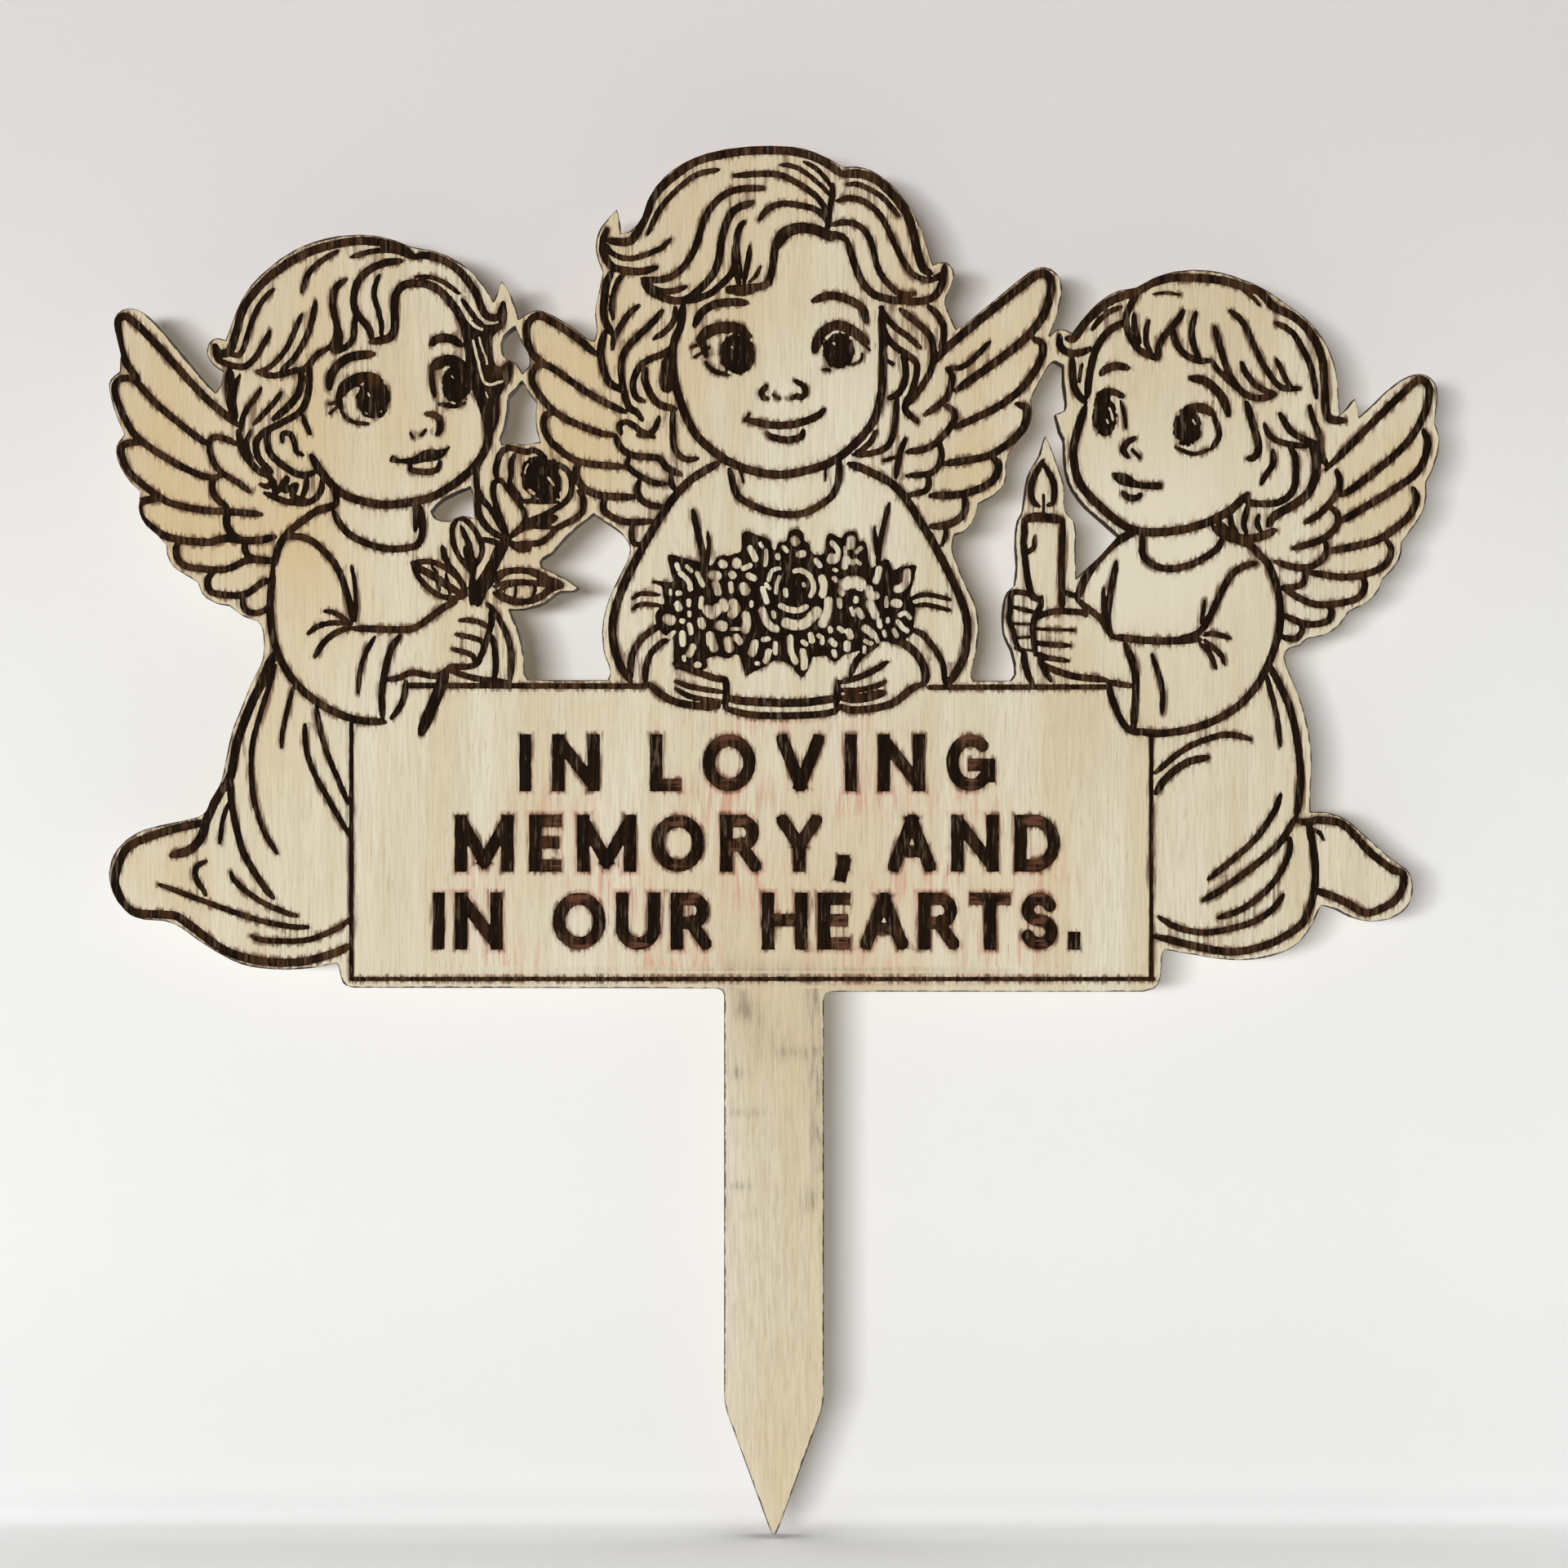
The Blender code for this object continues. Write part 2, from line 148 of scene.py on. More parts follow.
LEFT_FACE = [
    (1.2, (-60.5, 179.3), (-57.7, 180), (-57, 181.5), (-57, 185.5), (-56.5, 187), (-55.2, 188),
     (-51.5, 187.8), (-48.5, 185.2), (-46.5, 181.5), (-45.2, 173.5), (-43.4, 168.5), (-42.9, 165.5),
     (-43.3, 163.3), (-45.3, 160.3), (-49.5, 157), (-52, 155.8), (-57, 154.9), (-60, 155),
     (-64.8, 156.5), (-68, 159.7), (-69.5, 162.2)),
    (1.8, (-43.2, 173), (-42.4, 168)),
    (1.3, (-66.8, 172.4), (-66.6, 174.2), (-65.7, 175.6), (-63.8, 177), (-60.2, 177.5)),
    (1.3, (-51.5, 179), (-50.5, 179.8), (-48.6, 179.8), (-47, 178.9)),
    (1.8, (-65.2, 171.4), (-64.3, 172.7), (-62.5, 173.7), (-60.5, 173.8), (-58.9, 172.6)),
    (1.1, (-65.2, 171.8), (-65.4, 170.6), (-65, 169.3)),
    (0.9, (-66.8, 170), (-65.3, 170.3)),
    (0.8, (-66.7, 168.6), (-65.3, 169.9)),
    (0.6, (-65.1, 169), (-64.2, 167.9), (-62.8, 167.2), (-60.9, 167)),
    (1.7, (-51.3, 175.5), (-50, 176.3), (-48.5, 176.5), (-46.8, 175.6), (-45.8, 174.3)),
    (0.9, (-51.4, 175.5), (-51.3, 173), (-51, 171.2)),
    (0.7, (-50.3, 170), (-48, 169.7), (-46.6, 170.2)),
    (1, (-52.3, 168.5), (-51, 168.3), (-50.2, 167.6), (-50.1, 166.4), (-50.6, 165.4)),
    (0.7, (-54.6, 165.6), (-54.2, 164.9)),
    (0.9, (-53, 165.3), (-52.4, 166)),
    (0.9, (-54.7, 160.9), (-54.5, 160.1), (-52, 159.8), (-50.6, 160.2), (-50.2, 161.3)),
]

LEFT_HAIR = [
    (1.2, (-84, 178.8), (-83.4, 177.6), (-82, 177.8), (-81.3, 179), (-80.2, 183), (-79.2, 185.3),
     (-76, 189), (-74.3, 190.2), (-73, 191.2), (-68.5, 193.3), (-62, 194.5), (-56.5, 193.6),
     (-54, 192.1)),
    (0.9, (-84, 178.5), (-83.7, 177), (-83, 176.3), (-79.3, 175.7), (-76.4, 179.5), (-75.8, 180.9)),
    (0.8, (-82, 177.5), (-80.2, 177.5), (-78.6, 182), (-77.5, 184.5), (-76.3, 186.2), (-75.2, 187.2)),
    (0.8, (-71, 183.4), (-73, 178.8), (-74.5, 176.7), (-76, 175.4), (-77.5, 174.8)),
    (0.9, (-68.9, 185.4), (-69.4, 182.5), (-70.3, 180), (-72, 177), (-74, 175)),
    (0.9, (-77.7, 174.9), (-76, 174.3), (-74, 174.4), (-72, 175), (-70.5, 175.3), (-68.5, 177.5),
     (-67, 178.3)),
    (0.8, (-65.5, 193), (-68, 191.5), (-70, 189.5), (-70.9, 186.8)),
    (1, (-64.3, 188.7), (-65.8, 187.5), (-66.3, 185.5), (-66.1, 183.5), (-65.6, 181.5), (-66, 179.5),
     (-67, 178.3)),
    (0.8, (-65.6, 182), (-65.2, 180.5), (-65.3, 178.8), (-66.4, 177.9)),
    (1.1, (-56, 191.5), (-58.5, 191.2), (-61, 190), (-62.7, 188), (-63, 184.3), (-60.8, 181.2),
     (-60.5, 180)),
    (0.9, (-62.9, 183.5), (-63.3, 179.8), (-64.3, 178.6), (-65.8, 177.7)),
    (0.8, (-59.3, 189.3), (-60, 187.5), (-60, 185.8), (-59.4, 184), (-59, 182), (-59, 180.2)),
    (0.8, (-63.5, 192.1), (-60, 193), (-57, 193), (-54.3, 192)),
    (1.1, (-54.3, 192), (-52, 192.3), (-48, 190.6), (-45, 187), (-43.5, 183.6), (-42.3, 182.9),
     (-41.2, 183.3), (-40.7, 185.2)),
    (0.7, (-53.8, 189.1), (-51.5, 189), (-49.5, 188.2), (-47.3, 186.6)),
    (0.8, (-46.8, 185.6), (-44.7, 182.7), (-43.8, 182)),
    (1, (-40.7, 185), (-40.6, 183.3), (-41.2, 181.7), (-44, 181.5), (-46.2, 182.6)),
    (1, (-45, 181.3), (-43.9, 175), (-43.4, 173.5)),
    (1, (-43.5, 181), (-43.2, 178.5), (-42.6, 176.3), (-41.8, 175.2), (-40.7, 175.2), (-39.8, 175.9),
     (-39.9, 174.2), (-40.7, 173.4), (-43, 173.3)),
    (1.5, (-81.8, 175), (-81.8, 172.5), (-81.5, 170), (-81, 168)),
    (1, (-80.5, 166), (-79.7, 162.7), (-77.5, 160), (-76, 159.2), (-75.3, 158.3)),
    (0.7, (-80.3, 174.3), (-80.9, 172.5), (-81, 170.5)),
    (0.8, (-77.1, 172.3), (-78, 170.8), (-79.2, 169.3), (-79.9, 167.5), (-80.1, 166)),
    (0.8, (-74.1, 171.7), (-75.2, 170.1), (-78.1, 167)),
    (0.7, (-78.6, 166), (-79.2, 164.5), (-79, 163), (-78.4, 161.6)),
    (1.1, (-71.2, 175.2), (-71, 173.5), (-71.5, 171.5), (-72.8, 169.8), (-75.2, 167.7)),
    (1, (-69.8, 176), (-70, 171.5), (-71.3, 168.8), (-76.7, 165.7), (-77.7, 164.5), (-77.8, 163),
     (-77.2, 161.5), (-75.5, 159.8)),
    (0.8, (-70.8, 168.3), (-70.3, 166.8), (-69.7, 165.5)),
    (0.8, (-73.9, 164.3), (-73.8, 165.5), (-72.7, 165.5), (-72, 164), (-71.7, 162.8), (-70.8, 162.3)),
    (1, (-75.8, 166.2), (-76.2, 164.5), (-75.5, 162.3), (-72, 159.6), (-70.3, 159.3), (-69, 159.8)),
    (0.9, (-77.2, 157.9), (-76, 157.6), (-75.3, 158.4), (-74.8, 156.8), (-73.2, 158.8), (-73.5, 157),
     (-71.8, 157.8), (-72.3, 156.2), (-70, 155.2), (-73, 155.3), (-76.5, 156.6)),
    (0.9, (-70.2, 159), (-70.4, 157.3), (-71, 155.8)),
    (0.9, (-67.9, 158.8), (-68, 157.2), (-68.8, 155.9), (-70, 155.2), (-71.5, 155)),
    (0.9, (-66.5, 157.5), (-65.8, 156.3), (-66, 154.8), (-69, 153.6)),
]

LEFT_WING = [
    (1.1, (-95.5, 173.6), (-97.2, 176), (-98, 178), (-98.6, 182), (-98, 183.1), (-97, 183),
     (-93, 179.2), (-85.5, 171), (-80.5, 166.8)),
    (1, (-84.8, 164.1), (-86, 164.5), (-93, 170.2), (-96, 173.5), (-97.3, 173.9), (-98.6, 173.5),
     (-99.1, 172.3), (-98.8, 170.8), (-97, 166.8), (-95.5, 164.8), (-91, 161.7), (-86.5, 159.4),
     (-84, 158.8)),
    (1, (-94.5, 164.2), (-96.5, 164.2), (-97.8, 163.8), (-98.1, 162.7), (-96.8, 159.7), (-92, 155.8),
     (-90, 154.9), (-85.5, 154), (-83, 153.9), (-77, 153.4)),
    (1.1, (-92, 155.9), (-95.2, 155.2), (-95.4, 153.8), (-94.5, 152.2), (-91, 150), (-85, 149.2),
     (-82.5, 149.8), (-80, 149.5), (-77.5, 149.5), (-75, 150)),
    (1, (-89.3, 149.5), (-89.8, 148.5), (-89.7, 147), (-89, 146), (-87.5, 145.4), (-83, 145.1),
     (-81.3, 145.5), (-79.5, 146.4), (-78, 146.6), (-75.5, 146.3)),
    (1, (-84.3, 144.8), (-85.1, 143.5), (-84.8, 142), (-83.5, 141.4), (-79.5, 141.4), (-76.8, 143.2),
     (-75.4, 143.5)),
    (0.9, (-79.8, 141), (-79.8, 139.8), (-79.2, 138.9), (-77.8, 138.6), (-76.5, 139), (-75.8, 139.8)),
    (0.9, (-80.6, 163.9), (-82.3, 164.7), (-84.2, 165), (-84.9, 163.8), (-83.6, 160.3), (-80, 157.8),
     (-78.8, 156.8)),
    (1, (-83, 159.3), (-84.2, 158.7), (-84.4, 157.3), (-83.9, 156), (-82, 154.3)),
    (1.1, (-81.8, 153.9), (-82.3, 152.8), (-82, 151.3), (-81.3, 150.3), (-80, 149.7)),
    (1, (-79.2, 149.6), (-79.5, 148.4), (-79, 147.2), (-77.8, 146.7), (-75.3, 146.5)),
]

CENTRE_HAIR = [
    (1.1, (-25.1, 196.2), (-25.6, 194.8), (-25.7, 193), (-25, 191.4), (-23.8, 190.4), (-20, 189.9),
     (-17.7, 190.5)),
    (1.2, (-25, 194.6), (-22.5, 194.3), (-21.2, 194.8), (-19.2, 198.3), (-18.4, 200.5), (-17, 202.5),
     (-12.5, 206), (-10, 207), (-4, 208), (2, 208), (6.5, 206.9), (10.2, 204.5)),
    (1.3, (10.2, 204.5), (12.5, 204.6), (14.5, 204.1), (16.5, 202.8), (20, 198.5), (21.8, 192),
     (22.5, 190.3), (23.5, 189.6)),
    (0.8, (-19, 195.5), (-17, 199.5), (-13.2, 203.4), (-11.2, 204.6), (-8.3, 205.2)),
    (0.8, (-15.6, 194.7), (-17, 193.4), (-21, 191.9), (-23, 192), (-24.5, 192.8), (-25.3, 194)),
    (1, (-19.8, 188.8), (-18, 188.6), (-16, 188.9), (-14.2, 190), (-12.6, 192), (-11.5, 194.3),
     (-10.8, 196.8), (-9.8, 199), (-8.2, 200.9), (-6.3, 202), (-4, 202.4), (-1.5, 202.4)),
    (0.9, (-13.2, 187.6), (-15, 187), (-17, 187), (-18.8, 187.8), (-19.8, 188.8)),
    (1.1, (-19.7, 188.3), (-18.5, 186.9), (-16.5, 185.9), (-14.5, 185.5), (-12.7, 186), (-9.5, 189),
     (-8.5, 191), (-7.6, 195.7), (-6.9, 197.8), (-5.7, 199.3), (-3.2, 200.3)),
    (1, (-14.5, 185.5), (-11.5, 185.8), (-9, 187), (-6, 190.3), (-5.6, 194.5), (-5.3, 196.2),
     (-4.5, 197.4)),
    (0.7, (-5.3, 193), (-4.8, 189)),
    (0.7, (-3.7, 193.7), (-3.9, 191.5), (-4.2, 189)),
    (0.6, (-2, 190.7), (-2.7, 189.3), (-3.8, 188.2)),
    (1.1, (-6.9, 186.9), (-5, 187.3), (-1.8, 187.7), (-0.7, 188.6), (0.4, 194.3), (1.5, 196),
     (4.5, 196.7), (7.5, 195.7), (10, 195.2), (11, 194.6)),
    (0.9, (8.7, 203), (8.8, 201.5), (8.4, 199.5), (8, 196)),
    (0.9, (-2.2, 197.7), (-1.2, 199), (0.3, 199.9), (2, 200.1), (5.8, 199.4), (7.2, 198.5), (8, 197.3)),
    (0.9, (-6, 204.3), (-1, 204.6), (1.5, 204.2), (5.8, 201.7), (7.3, 200), (8.1, 198.5)),
    (0.7, (1, 205.9), (2.5, 205.8), (4.2, 205.1), (7.2, 202.7), (8.2, 201.5)),
    (0.7, (4.5, 206.4), (6, 205.6), (7.5, 204.2), (8.6, 202.6)),
    (0.9, (9.5, 200.5), (11, 200.9), (12.8, 200.7), (14.6, 199.7), (16.2, 198), (20.2, 190.2),
     (22.5, 188.7), (24, 188.8), (25.2, 189.6)),
    (0.8, (11, 203), (12.7, 203), (16.2, 201.1), (18.7, 198.3)),
    (0.9, (8.7, 196.9), (10.5, 197.3), (12.3, 197), (13.8, 195.8), (14.7, 194), (15.8, 190),
     (18.2, 187), (19.8, 186.4), (21.2, 186.6)),
    (1.1, (11, 194.5), (13, 188.8), (15.3, 186.3), (21, 185.4), (24, 186.1), (25.3, 188.3),
     (25.6, 190.7)),
    (1, (23.2, 184.7), (24.4, 183.6), (25.4, 181.8), (25.5, 180), (25, 178.3)),
    (1, (19, 184.2), (22.8, 181), (23.8, 179.3), (23.8, 175.8), (22.2, 172.6), (20, 169.8)),
    (0.9, (16, 184.5), (17, 182.8), (18.5, 181.3), (20.3, 180), (22, 178.4)),
    (1, (16.3, 182), (17, 180), (18, 178.8), (20.8, 176.8), (21.5, 175.5), (20.7, 171.7), (19.9, 170.4),
     (19.8, 169), (21.6, 167.3)),
    (1, (19.3, 177.5), (19.7, 176), (19.8, 174.3), (19.4, 172.7), (18.5, 171.4), (17.3, 170.9)),
    (0.9, (18.5, 171), (18.3, 168), (18, 165.5)),
    (1.1, (17, 176.5), (17.8, 176)),
    (1.1, (-24.3, 190), (-25.2, 188), (-25.5, 183), (-24.2, 180.3)),
    (1.1, (-25.3, 181), (-25.9, 179), (-26, 177), (-24.8, 173.3), (-22.2, 171.8)),
    (0.8, (-22, 190), (-23.3, 188.7), (-24.1, 186.7), (-24.4, 184.5), (-24.2, 182.8)),
    (0.9, (-20.3, 184.8), (-21.8, 183.5), (-24, 180), (-24.3, 178.3)),
    (1, (-16.8, 184), (-18, 182.5), (-21.5, 179.1), (-22.7, 177.2), (-23, 175), (-21.9, 169.7),
     (-20.6, 168.7), (-19.8, 167.6)),
    (0.9, (-14.8, 184.5), (-15, 182.7), (-16, 181.2), (-18, 179.8)),
    (1, (-15.3, 178.5), (-16.7, 177.5), (-18.5, 176.8), (-20, 175.8), (-20.9, 174.3), (-21.2, 172.6),
     (-20.7, 171), (-19.6, 170.4)),
    (1.1, (-19.3, 175.3), (-19.4, 173.5), (-17.6, 170.2), (-14.8, 169.2)),
    (0.9, (-15.2, 169.2), (-15.2, 165), (-14.8, 163), (-13.3, 161.7), (-11.5, 161.8)),
    (0.9, (-23, 165.5), (-23.2, 166.8), (-22.3, 167.3), (-21, 166.7), (-20, 165.9), (-18, 165)),
    (0.9, (-17.3, 168), (-17.8, 166.5), (-18.8, 165.4), (-20.5, 165.3)),
    (0.9, (15.3, 165.9), (14.7, 164.6), (13.5, 163.3), (12, 162.4)),
    (0.9, (18.2, 166.8), (17.8, 165), (17, 163.6), (15.8, 162.9), (12.5, 162.2)),
    (1.5, (0.2, 193.4), (1.7, 195.5), (3.9, 196.4), (6.5, 196.1), (8.6, 194.9)),
    (1.6, (-6.8, 187.3), (-4.8, 187), (-2.6, 187.6)),
    (0.9, (-6, 193.5), (-5.8, 190.5), (-5.2, 188)),
    (0.8, (-3.6, 193), (-4.2, 190), (-4.5, 188)),
]

CENTRE_FACE = [
    (1.2, (16.2, 184.5), (16.4, 176), (16, 171), (14.5, 166.7), (9.5, 161.8), (4.5, 159.9), (0, 159.4),
     (-5, 160.5), (-9, 162.8), (-12.3, 166.3), (-14.9, 173.2), (-15.2, 178), (-14.8, 180), (-14, 181.8),
     (-13.6, 185)),
    (1.2, (-11.9, 181.8), (-10.9, 183.7), (-9.1, 184.9), (-6.5, 185.3), (-4.1, 185.2)),
    (1.7, (-11.2, 179.6), (-9.8, 180.9), (-7.5, 181.5), (-5.2, 181.2), (-3.9, 179.9)),
    (1.1, (-11.2, 179.8), (-10.6, 178.6), (-10.2, 177.2)),
    (0.9, (-12.4, 178.5), (-10.4, 179.3)),
    (0.8, (-11.9, 177), (-9.8, 178.5)),
    (0.7, (-10.2, 176.3), (-9.8, 175.6), (-8.6, 174.8), (-6.8, 174.4)),
    (1.2, (5.9, 185.5), (8.5, 186.3), (11.3, 185.6), (13.3, 184.3), (13.9, 182.4)),
    (1.5, (6.1, 178), (6.8, 180), (8.2, 181.4), (9.9, 181.8), (11.8, 181), (13.9, 179.3)),
    (0.6, (13, 179.3), (14.4, 178.1)),
    (0.5, (7.2, 175.2), (8.5, 175)),
    (0.5, (12, 176), (13, 176.5), (13.3, 177.6)),
    (1, (-1.2, 172.7), (-1.8, 171.8), (-1.6, 171), (-1, 170.8)),
    (0.9, (-0.1, 171.4), (0.8, 170.8)),
    (0.9, (3.2, 173.5), (4.5, 172.6), (4.7, 171.6), (4.1, 171), (3.4, 171.2), (2.6, 170.8)),
    (0.8, (-4.4, 167.5), (-3.7, 168.5)),
    (1.1, (-4, 167.6), (-0.9, 166.9), (2.1, 166.8), (4.7, 167.4), (6.7, 168.3), (7.5, 169.1)),
    (1, (-1, 165.6), (-0.2, 165), (2.1, 164.6), (4.1, 165.1), (4.4, 166)),
]

CENTRE_BODY = [
    (1, (-6.7, 160.2), (-5.6, 156.5), (-4.3, 155.3), (0, 153.6), (4.5, 153.6), (8.2, 155.7), (9.2, 157),
     (9.7, 158.7), (9.8, 161.8)),
    (0.7, (-5.2, 160.3), (-4.6, 158.3)),
    (0.6, (7.8, 161), (7.7, 158.5)),
    (1.2, (-8.3, 161.2), (-12.5, 158.6), (-15.5, 155.3), (-19.2, 149.4), (-23.2, 141.2), (-24.3, 136),
     (-23.3, 131.2), (-21.5, 128.3)),
    (1.2, (11.3, 161), (13.5, 160.2), (17.3, 158.3), (18.8, 157), (20.2, 155.2), (24.8, 147.5),
     (28.8, 138.5), (28.9, 133.5), (28.2, 131.2), (26.3, 128)),
    (1, (-21.5, 128.8), (-21.5, 131), (-21, 133), (-19.8, 134.8), (-18, 136.2), (-16.5, 137)),
    (0.9, (-19.3, 128), (-19.2, 130.5), (-18.5, 132.5), (-17, 134), (-15.8, 134.7)),
    (0.9, (20.5, 136.2), (22.5, 135.2), (25.2, 131.3), (25.7, 128)),
    (1.2, (17.5, 135), (19.5, 134), (21.5, 132.3), (22.5, 130.5), (22.8, 128.5), (22.3, 127.8)),
    (1, (-12.2, 154), (-10.5, 146.5), (-10.1, 143)),
    (0.6, (-9.9, 150.7), (-9.8, 148.5), (-10, 146)),
    (0.8, (17.3, 155), (16, 149.5), (15.6, 145.5)),
    (0.6, (15.1, 151.5), (15.3, 149), (15.5, 147)),
    (0.7, (-21.2, 140.8), (-20, 141.5), (-17.2, 141.3)),
    (0.7, (-21.2, 139.2), (-20, 139.9), (-17, 139.7)),
    (0.7, (-18, 143.3), (-16, 142.5)),
    (0.7, (20.2, 140.5), (21.8, 141.2), (23.5, 141.3), (26.5, 140.6)),
    (0.7, (21, 139.7), (23, 139.8), (26.4, 139)),
    (1.2, (-7.2, 125.8), (-4, 125.3), (4, 125.1), (9.5, 125.8)),
    (1, (-7.3, 124.3), (-5, 123.6), (-2, 123.2), (6, 123.3), (9, 123.8), (9.8, 124.4)),
    (1, (-15, 131), (-9, 128.8), (-7.3, 128.4), (-7.3, 124.3)),
    (0.8, (-14.8, 128.3), (-12.5, 127.5), (-7.8, 126.7)),
    (0.8, (-14.8, 127.2), (-12.5, 126), (-7.5, 125.2)),
    (1.1, (-19, 128), (-15.5, 125.5), (-10.5, 124.5), (-8.3, 124.6)),
    (1, (11.5, 129.3), (12.5, 131.5), (14, 133), (15.5, 133.9)),
    (0.9, (10, 128.2), (12, 128.7), (14.5, 129.7), (17, 131.2)),
    (1, (9.6, 128.3), (9.5, 126), (9.3, 124.5)),
    (0.8, (10, 127), (12.5, 127), (15, 127.5), (16.8, 128.3)),
    (1.4, (10.3, 125.8), (13, 125.8), (16.5, 126.6)),
    (1.1, (9.7, 124.6), (12, 124), (17.5, 124.9), (20.8, 127.3), (22, 127.8)),
]

CENTRE_LEFT_WING = [
    (1.1, (-34.5, 176.2), (-35.8, 177), (-36.8, 178.5), (-37.2, 181.3), (-36.6, 182.6), (-35.6, 183.2),
     (-34.5, 183), (-30, 180.2), (-26.8, 177.5)),
    (1, (-22.3, 168.8), (-24, 169.5), (-28.5, 172), (-33.5, 175.5), (-35.2, 175.9), (-36.3, 174.8),
     (-36.2, 173), (-33.8, 169.6), (-31, 167.6), (-26, 165.6), (-24, 165.3)),
    (1, (-33, 168.7), (-34.3, 168.3), (-34.7, 167), (-34.2, 165.4), (-33, 163.8), (-29.5, 161.4),
     (-22.3, 160.5)),
    (1.1, (-29, 161.3), (-29.7, 160.3), (-29.6, 158.8), (-28.5, 157.3), (-27, 156.5), (-25, 156.1),
     (-21, 156)),
    (1, (-25, 156.2), (-25.6, 155.2), (-25.4, 153.8), (-22.5, 152.3), (-18.3, 152.4)),
    (0.9, (-21.3, 152), (-21.4, 150.3), (-21, 149), (-20, 149)),
    (1, (-23.8, 165.2), (-23.2, 163.7), (-22, 162.6), (-20.3, 162.1), (-17.2, 161.8), (-16.2, 160.5),
     (-14, 159.4)),
    (0.9, (-21.8, 162), (-22, 160.6), (-18.5, 158.3), (-16.2, 158)),
    (1, (-20.2, 158.5), (-20.6, 157.2), (-20, 155.7), (-18.5, 154.8), (-16.8, 154.6)),
    (0.9, (-15.5, 159.5), (-15.4, 158), (-14.5, 156.8)),
]

CENTRE_RIGHT_WING = [
    (1.2, (24.3, 176.5), (26, 178.5), (39.3, 189.3), (40.6, 189.6), (41.5, 188.8), (41.6, 187),
     (40.3, 183), (36.8, 179), (27.3, 172)),
    (1.1, (39, 179.8), (40.3, 179), (40.2, 177), (37.8, 173), (34, 169.8), (27.3, 166.5)),
    (0.8, (32.4, 179.3), (29.3, 176.2), (27.8, 175.4), (26.3, 175.4)),
    (1.1, (36.5, 170), (38, 169.3), (37.2, 166), (33.7, 163), (31.5, 162), (25.5, 161)),
    (1.1, (32.8, 162), (33.7, 161), (33.5, 159.5), (32.3, 158), (28.5, 156.5), (23.5, 156.2)),
    (1.1, (28.5, 156.3), (28.8, 155), (28.5, 153.5), (27.3, 152.4), (25.5, 151.7), (23.5, 151.6)),
    (0.8, (25.8, 151.5), (25.8, 150.3), (25.2, 148.8)),
    (1, (26, 175.3), (26.8, 174), (25.8, 170.8), (22.7, 168.4)),
    (1, (25.8, 169.8), (27, 168.8), (27, 167.3), (24.5, 164.3), (22.5, 163.2), (20, 162.8)),
    (0.9, (24.8, 164.3), (25.2, 162.5), (24.8, 160.8), (23.5, 159.6), (20, 159.2)),
    (0.9, (23, 159.5), (23.3, 158.3), (22.8, 157), (20.2, 156.3)),
    (0.9, (19.8, 164.8), (19, 162.8), (18.3, 159)),
    (0.9, (16.5, 161.5), (18.3, 162)),
]

